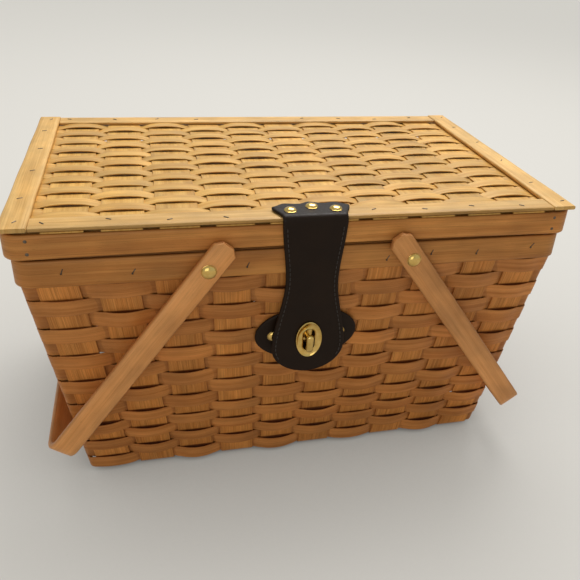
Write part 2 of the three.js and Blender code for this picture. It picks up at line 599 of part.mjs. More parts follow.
const baseFront = baseBack + LOCK_BASE_THICKNESS;
const baseBody = pushedOut(baseShape, LOCK_BASE_THICKNESS, baseBack, 0, 6);
addPiece('turn_lock_base', baseBody, BRASS_FINISH, plateGroup);

// Clasp, moving half: the strap hangs from its bend at the lid's front edge, leaning in a little
// so that it lies just over the base of the lock.
const bendY = LID_DEPTH / 2 + LEATHER_THICKNESS / 2 + 2 * SEAT_GAP;
const bendZ = LID_STRIP_BOTTOM + LID_END_STRIP_THICKNESS - LEATHER_THICKNESS / 2;
const lockProud = wallFace + baseFront + LOCK_BASE_HEIGHT / 2 * FRONT_SLOPE;
const leanIn = bendY - LEATHER_THICKNESS / 2 - lockProud - 2 * SEAT_GAP;
const lean = Math.atan(leanIn / (bendZ - LOCK_HEIGHT));
const lockDrop = (bendZ - LOCK_HEIGHT) / Math.cos(lean);
const strapGroup = new THREE.Group();
strapGroup.position.set(0, -bendY, bendZ);
strapGroup.rotation.x = lean;
basket.add(strapGroup);
const slotWidth = KNOB_WIDTH + 2 * KNOB_SLOT_CLEARANCE;
const slotHeight = KNOB_HEIGHT + 2 * KNOB_SLOT_CLEARANCE;
function strapOutline() {
  const shape = new THREE.Shape();
  const topHalf = STRAP_TOP_WIDTH / 2;
  const waistHalf = STRAP_WAIST_WIDTH / 2;
  const tipHalf = STRAP_TIP_WIDTH / 2;
  const waist = -STRAP_WAIST_DROP;
  const tip = -STRAP_TIP_DROP;
  const bow = (STRAP_TIP_DROP - STRAP_WAIST_DROP) / 2;
  shape.moveTo(-topHalf, 0);
  shape.bezierCurveTo(-topHalf, waist / 3, -waistHalf, waist / 2, -waistHalf, waist);
  shape.bezierCurveTo(-waistHalf, waist - bow, -tipHalf, tip + bow / 2, -tipHalf, tip);
  shape.absellipse(0, tip, tipHalf, STRAP_LENGTH - STRAP_TIP_DROP, Math.PI, 2 * Math.PI, false);
  shape.bezierCurveTo(tipHalf, tip + bow / 2, waistHalf, waist - bow, waistHalf, waist);
  shape.bezierCurveTo(waistHalf, waist / 2, topHalf, waist / 3, topHalf, 0);
  return shape;
}
const strapBody = pushedOut(strapOutline(), LEATHER_THICKNESS, -LEATHER_THICKNESS / 2, 0, 4);
const slotCutter = pushedOut(oblong(new THREE.Shape(), slotWidth, slotHeight),
  LEATHER_THICKNESS + 2 * CUT_MARGIN, -LEATHER_THICKNESS / 2 - CUT_MARGIN, lockDrop, 3);
addPiece('clasp_strap', cut(strapBody, [slotCutter]), LEATHER_FINISH, strapGroup);
const eyeletShape = oval(EYELET_WIDTH, EYELET_HEIGHT);
eyeletShape.holes.push(oblong(new THREE.Path(), slotWidth, slotHeight));
const eyeletBack = LEATHER_THICKNESS / 2 + SEAT_GAP;
const eyeletBody = pushedOut(eyeletShape, EYELET_THICKNESS, eyeletBack, lockDrop, 6);
addPiece('clasp_eyelet', eyeletBody, BRASS_FINISH, strapGroup);

// Turn knob: an oblong head on a post that turns in the lock's base.
const eyeletFront = bendY - lockDrop * Math.sin(lean) + eyeletBack + EYELET_THICKNESS;
const knobBack = eyeletFront - wallFace + KNOB_STANDOFF;
const knobShape = oblong(new THREE.Shape(), KNOB_WIDTH, KNOB_HEIGHT);
const knobHead = pushedOut(knobShape, KNOB_THICKNESS, knobBack, 0, 4);
const knobPost = rod('y', KNOB_POST_RADIUS, -knobBack - FUSE_DEPTH, -baseBack - SEAT_GAP, 0, 0,
  STRAP_RIVET_SIDES);
addPiece('turn_knob', join([knobHead, knobPost]), BRASS_FINISH, plateGroup);

// The strap's fixed end lies on the lid with a waved edge and is held by three rivets.
const tabBottom = LID_STRIP_BOTTOM + LID_END_STRIP_THICKNESS + SEAT_GAP;
const tabShape = new THREE.Shape();
const tabEdge = STRAP_TAB_EDGE.map(([across, back]) => new THREE.Vector2(across, back));
const mirroredEdge = tabEdge.slice(0, -1).reverse().map(({ x, y }) => new THREE.Vector2(-x, y));
tabShape.moveTo(-STRAP_TOP_WIDTH / 2, 0);
tabShape.lineTo(STRAP_TOP_WIDTH / 2, 0);
tabShape.lineTo(tabEdge[0].x, tabEdge[0].y);
tabShape.splineThru([...tabEdge.slice(1), ...mirroredEdge]);
const tabBody = new THREE.ExtrudeGeometry(tabShape,
  { depth: LEATHER_THICKNESS, bevelEnabled: false, curveSegments: 2 }).translate(0, -bendY, tabBottom);
addPiece('clasp_strap_tab', cut(tabBody, strapRivetHoles), LEATHER_FINISH);
strapRivetPlaces.forEach(({ x, y }, number) => {
  const head = tabBottom + LEATHER_THICKNESS + SEAT_GAP;
  const tail = LID_STRIP_BOTTOM + SEAT_GAP;
  const rivet = turned([
    [0, tail], [STRAP_RIVET_SHANK, tail], [STRAP_RIVET_SHANK, head],
    ...domeProfile(STRAP_RIVET_RADIUS, STRAP_RIVET_HEIGHT, head),
  ], STRAP_RIVET_SIDES);
  addPiece(`strap_rivet_${number + 1}`, rivet.rotateX(Math.PI / 2).translate(x, y, 0), BRASS_FINISH);
});

export default basket;
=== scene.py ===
# A woven wood picnic basket with a hinged lid, two swing handles and a leather clasp with a turn-lock.
# The sections follow the order in which it is put together. Sizes are in millimetres.
import math

import bpy
import numpy as np
from mathutils import Matrix, Vector


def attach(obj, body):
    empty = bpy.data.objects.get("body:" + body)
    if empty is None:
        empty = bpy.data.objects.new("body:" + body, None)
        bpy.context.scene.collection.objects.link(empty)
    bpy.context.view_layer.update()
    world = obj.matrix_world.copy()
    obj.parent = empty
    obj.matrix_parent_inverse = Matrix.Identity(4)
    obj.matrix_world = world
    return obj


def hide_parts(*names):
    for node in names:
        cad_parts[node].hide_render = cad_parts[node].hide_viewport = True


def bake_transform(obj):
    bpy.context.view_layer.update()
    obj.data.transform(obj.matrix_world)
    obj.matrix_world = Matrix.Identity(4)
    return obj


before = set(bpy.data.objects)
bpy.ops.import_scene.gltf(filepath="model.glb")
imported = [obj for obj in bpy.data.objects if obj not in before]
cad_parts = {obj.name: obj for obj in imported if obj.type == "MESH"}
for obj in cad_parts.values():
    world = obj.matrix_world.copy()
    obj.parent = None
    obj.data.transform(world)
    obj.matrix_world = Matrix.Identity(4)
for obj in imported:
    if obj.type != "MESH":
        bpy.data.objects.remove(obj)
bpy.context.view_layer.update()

# Uprights: flat ash splints, split along the grain and shaved. Ten run down the front, under the floor
# and up the back. Five run across and are woven over and under the ten in the floor.
MM = 0.001
WALL_TOP = 207.0
TOP_HALF = np.array([216.95, 134.95])
TAPER = np.array([28.0, 22.0])
WALL_LEAN = TAPER / WALL_TOP
UPRIGHT_TOP = 227.5
UPRIGHT_WIDTH = 30.0
UPRIGHT_THICK = 1.2
PRESSED_IN, STANDS_OUT = -0.25, 0.35
FLOOR_LEVEL = 2.55
FLOOR_STEP = 1.8
FOOT_HEIGHT, FOOT_REACH = 7.5, 5.0
FRONT_COUNT, SIDE_COUNT = 10, 5
STAKES = 2 * (FRONT_COUNT + SIDE_COUNT)
FLOOR_PITCH = np.array([37.0, 42.4])
FAN = FLOOR_PITCH / (TOP_HALF - TAPER)
ROW_COUNT, WIDE_ROWS = 16, 10
WIDE_STEP, NARROW_STEP = 13.504, 10.668
FIRST_ROW_TOP = 206.6
ROW_STEPS = np.where(np.arange(ROW_COUNT) < WIDE_ROWS, WIDE_STEP, NARROW_STEP)
ROW_TOPS = FIRST_ROW_TOP - np.append(0, np.cumsum(ROW_STEPS)[:-1])
ROW_MIDDLES = ROW_TOPS - ROW_STEPS / 2
# How far above a weaver's top edge an upright's painted shade starts, and how soft its edge is.
SHADE_RISE, SHADE_BLUR = 0.8, 1.4
chance = np.random.default_rng(5)


def linear(code):
    """The colour that a shader takes, from an sRGB hex code."""
    parts = [int(code[i:i + 2], 16) / 255 for i in (0, 2, 4)]
    return (*(p / 12.92 if p <= 0.04045 else ((p + 0.055) / 1.055) ** 2.4 for p in parts), 1)


def node(tree, kind, sockets=None, **settings):
    """Adds a shader node. Each socket gets a plain value or a link from another node's output."""
    made = tree.nodes.new("ShaderNode" + kind)
    for key, value in settings.items():
        setattr(made, key, value)
    for key, value in (sockets or {}).items():
        if isinstance(value, bpy.types.NodeSocket):
            tree.links.new(value, made.inputs[key])
        else:
            made.inputs[key].default_value = value
    return made


def wood(name, pale, deep, line, fibre, figure, strength, rough, relief):
    """Split ash. Fibre is the width of its fine dark lines and figure that of its growth bands. Both run
    along the strip. Each strip has a tone of its own, which drifts. Its cut edges get a little painted shade,
    and the gaps where another strip lies on it get a dark painted shade."""
    material = bpy.data.materials.new(name)
    material.use_nodes = True
    tree = material.node_tree
    tree.nodes.clear()
    grain = node(tree, "Attribute", attribute_name="grain").outputs["Vector"]
    edge = node(tree, "Attribute", attribute_name="edge").outputs["Fac"]
    seed = node(tree, "SeparateXYZ", {0: grain}).outputs["Z"]
    waver = node(tree, "TexNoise", {"Vector": grain, "Scale": 1 / (45 * MM), "Detail": 2.0}).outputs["Color"]
    bent = node(tree, "Mix", {0: 0.0016, 4: grain, 5: waver}, data_type="VECTOR").outputs[1]
    noises = []
    for place, along, across, apart, detail in (
            (bent, fibre * 70, fibre, 91.7, 3.0), (bent, 170, figure, 37.3, 2.0),
            (grain, 5, 0.5, 53.1, 1.0), (grain, 45, 22, 71.9, 2.0)):
        scale = (1 / (along * MM), 1 / (across * MM), apart)
        spread = node(tree, "Mapping", {"Vector": place, "Scale": scale})
        noises.append(node(tree, "TexNoise", {"Vector": spread.outputs[0], "Scale": 1.0, "Detail": detail,
                                              "Roughness": 0.6}).outputs[0])
    fine, broad, fleck, drift = noises
    band = node(tree, "MapRange", {"Value": broad, 1: 0.36, 2: 0.66}).outputs[0]
    lines = node(tree, "MapRange", {"Value": fine, 1: 0.46, 2: 0.74, 3: 0.0, 4: strength}).outputs[0]
    pores = node(tree, "MapRange", {"Value": fleck, 1: 0.66, 2: 0.76, 3: 0.0, 4: 0.3}).outputs[0]
    # Painted shade: the edges are darkened a little with the line colour, and the gaps much more.
    edge_shade_fac = node(tree, "MapRange", {"Value": edge, 1: 0.86, 2: 1.0, 3: 0.0, 4: 0.25}).outputs[0]
    gap_shade_fac = node(tree, "MapRange", {"Value": edge, 1: 1.0, 2: 2.0, 3: 0.0, 4: 0.85}).outputs[0]
    colour = node(tree, "Mix", {0: band, 6: linear(pale), 7: linear(deep)}, data_type="RGBA").outputs[2]
    for amount in (lines, pores, edge_shade_fac):
        colour = node(tree, "Mix", {0: amount, 6: colour, 7: linear(line)}, data_type="RGBA").outputs[2]
    # The painted shade in the gaps is this dark red-brown.
    colour = node(tree, "Mix", {0: gap_shade_fac, 6: colour, 7: linear("5c2408")}, data_type="RGBA").outputs[2]
    tone = node(tree, "TexWhiteNoise", {"W": seed}, noise_dimensions="1D").outputs["Value"]
    tone = node(tree, "MapRange", {"Value": tone, 3: 0.86, 4: 1.12}).outputs[0]
    drift = node(tree, "MapRange", {"Value": drift, 1: 0.3, 2: 0.7, 3: 0.82, 4: 1.18}).outputs[0]
    value = node(tree, "Math", {0: tone, 1: drift}, operation="MULTIPLY").outputs[0]
    colour = node(tree, "HueSaturation", {"Color": colour, "Value": value}).outputs[0]
    gloss = node(tree, "MapRange", {"Value": fine, 1: 0.3, 2: 0.7, 3: rough - 0.08,
                                    4: rough + 0.1}).outputs[0]
    bump = node(tree, "Bump", {"Height": fine, "Strength": 0.7, "Distance": relief * MM}).outputs[0]
    shader = node(tree, "BsdfPrincipled", {"Base Color": colour, "Roughness": gloss, "Normal": bump,
                                           "Specular IOR Level": 0.3})
    node(tree, "OutputMaterial", {"Surface": shader.outputs[0]})
    return material


def eased(t):
    return t * t * (3 - 2 * t)


def flow(at, knots, values):
    """Values that go smoothly from knot to knot."""
    low = np.clip(np.searchsorted(knots, at) - 1, 0, len(knots) - 2)
    part = np.clip((at - knots[low]) / (knots[low + 1] - knots[low]), 0, 1)
    return values[low] + (values[low + 1] - values[low]) * eased(part)


def splint(path, across, half, thick, seed, columns=3, ease=0.3, crown=0.0, painted_shade=0.0):
    """A flat strip along a path, with eased edges, cupped by its crown. Its outer face is on the side of
    the path's direction times across. Its grain is the place along and across it, and its seed. Its edge
    value is the place from middle to edge, and rises up to 2 with the painted shade given for the outer face."""
    path = np.asarray(path, float)
    across = np.broadcast_to(np.asarray(across, float), path.shape)
    half = np.broadcast_to(half, len(path))
    painted_shade = np.broadcast_to(painted_shade, len(path))
    ahead = np.gradient(path, axis=0)
    face = np.cross(ahead, across)
    face /= np.linalg.norm(face, axis=1)[:, None]
    length = np.append(0, np.cumsum(np.linalg.norm(np.diff(path, axis=0), axis=1)))
    spread = np.linspace(-1, 1, columns)
    points, grain = [], []
    for i in range(len(path)):
        inner = max(half[i] - ease, 0.02)
        cup = crown * (1 - spread ** 2)
        sides = [(half[i], -thick / 2 + ease), (half[i], thick / 2 - ease)]
        outline = [(s * inner, c - thick / 2) for s, c in zip(spread, cup)] + sides
        outline += [(s * inner, c + thick / 2) for s, c in zip(spread[::-1], cup[::-1])]
        outline += [(-a, b) for a, b in reversed(sides)]
        for a, b in outline:
            points.append(path[i] + a * across[i] + b * face[i])
            grain.append((length[i] * MM, a * MM, seed, max(abs(a) / half[i], 2 * painted_shade[i] * (b > 0))))
    return np.array(points), bridged(len(path), 2 * columns + 4), np.array(grain)


def bridged(rings, count):
    """Faces between rings of points, with a cap at each end."""
    faces = [list(range(count))[::-1], list(range((rings - 1) * count, rings * count))]
    for i in range(rings - 1):
        for j in range(count):
            k = (j + 1) % count
            faces.append([i * count + j, i * count + k, (i + 1) * count + k, (i + 1) * count + j])
    return faces


def piece(name, parts, material, body=None, nodes=(), sharp=50):
    """Joins parts into one object, which rides on a body and stands for the named nodes."""
    faces, start = [], 0
    for part in parts:
        faces += [[start + corner for corner in face] for face in part[1]]
        start += len(part[0])
    grain = np.concatenate([part[2] if len(part) > 2 else np.zeros((len(part[0]), 4)) for part in parts])
    mesh = bpy.data.meshes.new(name)
    mesh.from_pydata((np.concatenate([part[0] for part in parts]) * MM).tolist(), [], faces)
    mesh.attributes.new("grain", "FLOAT_VECTOR", "POINT").data.foreach_set("vector", grain[:, :3].ravel())
    # The edge attribute is the mask for the material's painted shade at the edges and in the gaps.
    mesh.attributes.new("edge", "FLOAT", "POINT").data.foreach_set("value", grain[:, 3])
    mesh.polygons.foreach_set("use_smooth", [True] * len(mesh.polygons))
    mesh.set_sharp_from_angle(angle=math.radians(sharp))
    mesh.materials.append(material)
    obj = bpy.data.objects.new(name, mesh)
    bpy.context.scene.collection.objects.link(obj)
    if body:
        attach(obj, body)
    if nodes:
        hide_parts(*nodes)
    return obj


def half_at(z):
    """Half the width and half the depth of the walls' middle plane at a height."""
    return TOP_HALF - WALL_LEAN * max(0.0, WALL_TOP - z)


def upright_wave(stake):
    """An upright is pressed in where a weaver passes outside it and stands out between those."""
    rows = np.arange(ROW_COUNT, 0, -1)
    pressed = np.where((rows + stake) % 2 == 1, PRESSED_IN, STANDS_OUT) * chance.uniform(0.6, 1.2, ROW_COUNT)
    knots = np.concatenate(([0.0], ROW_MIDDLES[::-1], [WALL_TOP, UPRIGHT_TOP]))
    return lambda z: flow(np.array([z]), knots, np.concatenate(([0.0], pressed, [0.0, 0.0])))[0]


def gap_shade_at(z, stake):
    """How much painted shade an upright gets at a height: 0 where it is bare, 1 where a weaver covers it. The
    painted shade starts a little above the weaver's top edge, where the weaver stands off the upright and the
    gap lies in shade."""
    amount = 0.0
    for row in range(1, ROW_COUNT + 1):
        if (row + stake) % 2 == 1:
            top = ROW_TOPS[row - 1]
            deep = min(top + SHADE_RISE - z, z - top + ROW_STEPS[row - 1])
            amount = max(amount, eased(min(max(deep / SHADE_BLUR + 0.5, 0.0), 1.0)))
    return amount


def bent_foot(wall, corner, floor):
    """Points of a bend from the wall into the floor."""
    return [(1 - t) ** 2 * wall + 2 * t * (1 - t) * corner + t * t * floor for t in np.linspace(0, 1, 8)]


def upright(i, axis):
    """The path of an upright, down one wall, under the floor and up the other, and its painted shade along
    that.
    Its axis is 1 from front to back and 0 from side to side. The stakes are numbered round the walls."""
    count = (SIDE_COUNT, FRONT_COUNT)[axis]
    sheer = (i - (count - 1) / 2) * FAN[1 - axis]
    stakes = (STAKES - i, FRONT_COUNT + 1 + i) if axis == 0 else (i + 1, STAKES - SIDE_COUNT - i)

    def level(end):
        return FLOOR_LEVEL if axis == 1 else FLOOR_LEVEL + FLOOR_STEP * (1 if (end + i) % 2 == 0 else -1)

    def spot(side, out, z, fan):
        place = np.array([0.0, 0.0, z])
        place[axis] = side * out
        place[1 - axis] = sheer * half_at(fan)[1 - axis]
        return place

    reach = half_at(0)[axis] - FOOT_REACH
    legs, shades = [], []
    for side, stake, end in ((-1, stakes[0], 0), (1, stakes[1], FRONT_COUNT - 1)):
        wave = upright_wave(stake)
        leg = [spot(side, half_at(z)[axis] + wave(z), z, z) for z in np.arange(UPRIGHT_TOP, 8.0, -1.3)]
        foot = level(end)
        leg += bent_foot(spot(side, half_at(FOOT_HEIGHT)[axis], FOOT_HEIGHT, FOOT_HEIGHT),
                         spot(side, half_at(0)[axis], foot, 0), spot(side, reach, foot, 0))
        legs.append(leg)
        shades.append([gap_shade_at(point[2], stake) for point in leg])
    run = np.linspace(-reach, reach, 70)[1:-1]
    heights = np.full(len(run), FLOOR_LEVEL)
    if axis == 0:
        middles = (np.arange(FRONT_COUNT) - (FRONT_COUNT - 1) / 2) * FAN[0] * half_at(0)[0]
        knots = np.ravel([(m - UPRIGHT_WIDTH / 2 + 2, m + UPRIGHT_WIDTH / 2 - 2) for m in middles])
        heights = flow(run, knots, np.repeat([level(end) for end in range(FRONT_COUNT)], 2))
    floor = [spot(1, out, z, 0) for out, z in zip(run, heights)]
    return legs[0] + floor + legs[1][::-1], shades[0] + [0.0] * len(floor) + shades[1][::-1]


# Ash shows broad tan bands and dark open lines. Where an upright is bare, its lines stand up as ribs.
upright_wood = wood("ash_upright", "dc9347", "c97f38", "7e4417", 0.6, 2.6, 0.6, 0.55, 0.2)
for side, count, axis, across in (("front", FRONT_COUNT, 1, (1, 0, 0)), ("side", SIDE_COUNT, 0, (0, -1, 0))):
    for i in range(count):
        path, painted_shade = upright(i, axis)
        waver = np.sin(np.arange(len(path)) * 0.13 + chance.uniform(0, 6))
        width = UPRIGHT_WIDTH / 2 * (1 + 0.012 * waver)
        part = splint(path, across, width, UPRIGHT_THICK, chance.uniform(1, 9), columns=5, ease=0.25,
                      painted_shade=painted_shade)
        name = f"{side}_upright_{i + 1}"
        piece(name, [part], upright_wood, "basket", [name], sharp=35)

# Weavers: thin ash splints, one to a row, bent in and out round the uprights while damp. They stand off
# each upright in a bow. Each ends behind an upright at the back, where its two ends meet.
WEAVER_THICK = 0.9
WEAVER_OFFSET = 1.1
WEAVER_SAMPLE = 2.6
OUTER_BOW, INNER_BOW = 2.8, 0.4
WANDER, RIPPLE = 0.35, 0.07
CLOSED_UP = 0.1
LAST_ROW_DROP, LAST_ROW_EXTRA = 1.2, 1.1
TUCKED_SHADE = 0.57
CORNER_RADIUS = 6.0
BACK_STAKE = 19
PLATE_HALF = (44.0, 27.0)
PLATE_HEIGHT = 145.0
PLATE_MARGIN = 8.0


def round_walls(distance, halves, radius):
    """Place and outward direction at a distance round a rounded rectangle, from the front's left end."""
    straights = 2 * (halves - radius)
    quarter = radius * math.pi / 2
    distance = distance % (2 * straights.sum() + 4 * quarter)
    wall = 0
    while distance > straights[wall % 2] + quarter:
        distance -= straights[wall % 2] + quarter
        wall += 1
    straight = straights[wall % 2]
    turn = wall * math.pi / 2
    ahead = np.array([math.cos(turn), math.sin(turn)])
    out = np.array([math.sin(turn), -math.cos(turn)])
    if distance <= straight:
        return ahead * (distance - straight / 2) + out * halves[(wall + 1) % 2], out
    turned_by = turn + (distance - straight) / radius
    bend = np.array([math.sin(turned_by), -math.cos(turned_by)])
    return ahead * straight / 2 + out * (halves[(wall + 1) % 2] - radius) + radius * bend, bend


# The weavers are shaved smooth, so they show long streaks with little relief and a soft shine.
weaver_wood = wood("ash_weaver", "d18a46", "bc7434", "784519", 0.6, 4.0, 0.3, 0.5, 0.05)
for row in range(1, ROW_COUNT + 1):
    is_last = row == ROW_COUNT
    middle = ROW_MIDDLES[row - 1] - (LAST_ROW_DROP if is_last else 0)
    halves = half_at(middle)
    straights = 2 * (halves - CORNER_RADIUS)
    quarter = CORNER_RADIUS * math.pi / 2
    perimeter = 2 * straights.sum() + 4 * quarter
    crossings, begun = [], 0.0
    for wall in range(4):
        count = (FRONT_COUNT, SIDE_COUNT)[wall % 2]
        pitch = FAN[wall % 2] * halves[wall % 2]
        crossings += [begun + straights[wall % 2] / 2 + (k - (count - 1) / 2) * pitch for k in range(count)]
        begun += straights[wall % 2] + quarter
    crossings = np.array(crossings)
    signs = np.where((row + np.arange(1, STAKES + 1)) % 2 == 1, 1.0, -1.0)
    seam = BACK_STAKE if signs[BACK_STAKE] < 0 else BACK_STAKE + 1
    bows = np.where(signs > 0, OUTER_BOW, INNER_BOW) * chance.uniform(0.45, 1.2, STAKES)
    grip = UPRIGHT_WIDTH / 2 + 0.3
    knots = np.ravel([(c - grip, c + grip) for c in crossings])
    knots = np.concatenate((knots - perimeter, knots, knots + perimeter))
    values = np.tile(np.repeat(signs * WEAVER_OFFSET, 2), 3)
    phases = chance.uniform(0, 2 * math.pi, 3)
    samples = int(perimeter / WEAVER_SAMPLE)
    path, ups, tucked_shade = [], [], []
    for distance in crossings[seam] + np.linspace(0.3, perimeter - 0.3, samples):
        place, out = round_walls(distance, halves, CORNER_RADIUS)
        around = distance % perimeter
        offset = flow(np.array([around]), knots, values)[0]
        near = np.argmin(np.abs(crossings - around))
        lift = max(0.0, 1 - ((around - crossings[near]) / grip) ** 2) * signs[near] * bows[near]
        # Behind the clasp's plate, on the front, the bows are pressed flat.
        if out[1] < -0.9:
            plate = math.hypot(place[0] / (PLATE_HALF[0] + PLATE_MARGIN),
                               (middle - PLATE_HEIGHT) / (PLATE_HALF[1] + PLATE_MARGIN))
            lift *= 0.1 + 0.9 * eased(min(max((plate - 0.8) / 0.4, 0.0), 1.0))
        turn = around / perimeter * 2 * math.pi
        wander = WANDER * math.sin(5 * turn + 0.4 * row) + RIPPLE * (
            math.sin(8 * turn + phases[0]) + math.sin(19 * turn + phases[1]))
        lean = np.abs(out) @ WALL_LEAN
        upward = np.array([out[0] * lean, out[1] * lean, 1.0])
        upward /= np.linalg.norm(upward)
        outward = np.array([out[0], out[1], -lean]) / math.hypot(1, lean)
        path.append(np.array([place[0], place[1], middle]) + (offset + lift) * outward + wander * upward)
        ups.append(upward)
        # The wood gets a painted shade where it goes in behind an upright, for the shade at the upright's
        # edge.
        tucked_shade.append(TUCKED_SHADE * eased(min(max((0.6 - offset / WEAVER_OFFSET) / 1.6, 0.0), 1.0)))
    half = ROW_STEPS[row - 1] / 2 + (LAST_ROW_EXTRA if is_last else CLOSED_UP)
    width = half * (1 + 0.012 * np.sin(np.arange(samples) * 0.046 + phases[2]))
    seed = 10 + row + chance.uniform(0, 0.5)
    part = splint(path, ups, width, WEAVER_THICK, seed, ease=0.2, painted_shade=tucked_shade)
    name = f"weaver_row_{row}"
    piece(name, [part], weaver_wood, "basket", [name], sharp=35)

# Rim: two flat ash bands, steamed round the corners, that hold the tops of the uprights between them.
# Each band's ends meet on the right wall.
RIM_MIDDLE = 217.75
RIM_HEIGHT = 21.5
RIM_INNER, RIM_OUTER = (215.9, 133.9), (221.0, 139.0)
BAND_THICK = 3.0


def hoop(outside, middle, height, seed, bowed=0.0, radius=14.0):
    """A flat band, on edge, round a rounded rectangle. Its lower edge is bowed up along the front."""
    halves = np.array(outside) - BAND_THICK / 2
    bend = radius - BAND_THICK / 2
    perimeter = 4 * (halves - bend).sum() + 2 * math.pi * bend
    start = 2 * (halves - bend)[0] + bend * math.pi / 2 + 1.2 * (halves - bend)[1]
    flat = np.array([round_walls(d, halves, bend)[0] for d in start + np.linspace(0.2, perimeter - 0.2, 420)])
    rise = np.where(flat[:, 1] < 0.1 - halves[1], bowed * (1 - (flat[:, 0] / halves[0]) ** 2), 0.0)
    path = np.column_stack((flat, middle + rise / 2))
    return splint(path, (0, 0, 1), (height - rise) / 2, BAND_THICK, seed, columns=7, ease=0.6)


# Wide sawn bands: smooth tan wood with soft growth bands and a few dark lines.
band_wood = wood("ash_band", "d29048", "be7a38", "804c1a", 1.0, 5.0, 0.4, 0.5, 0.05)
for side, outside, seed in (("inner", RIM_INNER, 31.2), ("outer", RIM_OUTER, 32.7)):
    name = f"rim_band_{side}"
    piece(name, [hoop(outside, RIM_MIDDLE, RIM_HEIGHT, seed)], band_wood, "basket", [name])

# Staples: thin steel wire driven through the rim bands and the uprights, each a little askew. One end is
# clinched, so it shows as a dot.
STAPLE_RISE = 1.8
STAPLE_RADIUS = 0.4
CLINCH_RADIUS = 0.75


def wire(start, end, radius):
    """A round bar with domed ends between two points."""
    start, end = np.array(start, float), np.array(end, float)
    ahead = (end - start) / np.linalg.norm(end - start)
    side = np.cross(ahead, (0.31, 0.27, 0.91))
    side /= np.linalg.norm(side)
    other = np.cross(ahead, side)
    rings = ((start, 0, 0.35), (start, 0.25, 0.8), (start, 0.7, 1.0),
             (end, -0.7, 1.0), (end, -0.25, 0.8), (end, 0, 0.35))
    points = []
    for tip, along, size in rings:
        centre = tip + ahead * along * radius
        for turn in np.arange(8) * math.pi / 4:
            points.append(centre + radius * size * (math.cos(turn) * side + math.sin(turn) * other))
    return np.array(points), bridged(len(rings), 8)


# Plain steel wire: grey, dulled by a thin oxide in patches.
staple_steel = bpy.data.materials.new("steel_wire")
staple_steel.use_nodes = True
tree = staple_steel.node_tree
tree.nodes.clear()
place = node(tree, "TexCoord").outputs["Object"]
patches = node(tree, "TexNoise", {"Vector": place, "Scale": 1 / (2.5 * MM), "Detail": 2.0}).outputs[0]
colour = node(tree, "Mix", {0: patches, 6: linear("3c3026"), 7: linear("7d7060")},
              data_type="RGBA").outputs[2]
rough = node(tree, "MapRange", {"Value": patches, 3: 0.5, 4: 0.25}).outputs[0]
shader = node(tree, "BsdfPrincipled", {"Base Color": colour, "Metallic": 1.0, "Roughness": rough})
node(tree, "OutputMaterial", {"Surface": shader.outputs[0]})
rim_staples = []
front_places = ((-186, 220), (-136, 217), (-51, 217), (63, 216), (101, 219), (142, 217), (193, 220))
side_places = ((-98, 218), (-45, 216), (4, 219), (52, 216), (101, 218))
faces_out = np.array(RIM_OUTER) + 0.1
staple_places = [(np.array([-face * x, face * faces_out[1], z]), np.array([1, 0, 0]), np.array([0, face, 0]))
                 for x, z in front_places for face in (-1, 1)]
staple_places += [(np.array([face * faces_out[0], y, z]), np.array([0, 1, 0]), np.array([face, 0, 0]))
                  for y, z in side_places for face in (-1, 1)]
for place, along, out in staple_places:
    lean = chance.uniform(0.6, 1.6) * along
    drop = np.array([0, 0, STAPLE_RISE])
    rim_staples.append(wire(place - lean - drop, place + lean + drop, STAPLE_RADIUS))
    foot = place - lean - drop * 1.15
    rim_staples.append(wire(foot, foot + out * 0.35, CLINCH_RADIUS))
piece("rim_staples", rim_staples, staple_steel, "basket")

# Handle rivets: turned brass, with a domed head outside the handle, a washer between the handle and the
# rim, and the shank's end hammered flat inside the basket.
PIVOT = (81.966, 217.0)


def turned(profile, sides=40):
    """A turned shape about the Z axis, from (radius, height) pairs that start and end on the axis."""
    points = [(0.0, 0.0, profile[0][1])]
    for radius, height in profile[1:-1]:
        for turn in np.arange(sides) * 2 * math.pi / sides:
            points.append((radius * math.cos(turn), radius * math.sin(turn), height))
    points.append((0.0, 0.0, profile[-1][1]))
    rings = len(profile) - 2
    last = len(points) - 1
    faces = [[0, 1 + (j + 1) % sides, 1 + j] for j in range(sides)]
    for i in range(rings - 1):
        for j in range(sides):
            k = (j + 1) % sides
            low = 1 + i * sides
            faces.append([low + j, low + k, low + sides + k, low + sides + j])
    top = last - sides
    faces += [[top + j, top + (j + 1) % sides, last] for j in range(sides)]
    return np.array(points), faces


def placed(part, origin, outward, upward=(0, 0, 1)):
    """A part drawn about the Z axis, set at a point with its Z axis outward and its Y axis upward."""
    outward = np.array(outward, float) / np.linalg.norm(outward)
    across = np.cross(upward, outward)
    across /= np.linalg.norm(across)
    axes = np.array([across, np.cross(outward, across), outward])
    return np.array(part[0]) @ axes + np.array(origin), *part[1:]


def dome(radius, height, base, steps=7):
    """Profile of a domed head with a thin flat rim at its base."""
    arc = np.linspace(0, math.pi / 2, steps)
    return [(radius, base), (radius, base + 0.12 * height)] + [
        (radius * 0.95 * math.cos(a), base + (0.16 + 0.84 * math.sin(a)) * height) for a in arc]


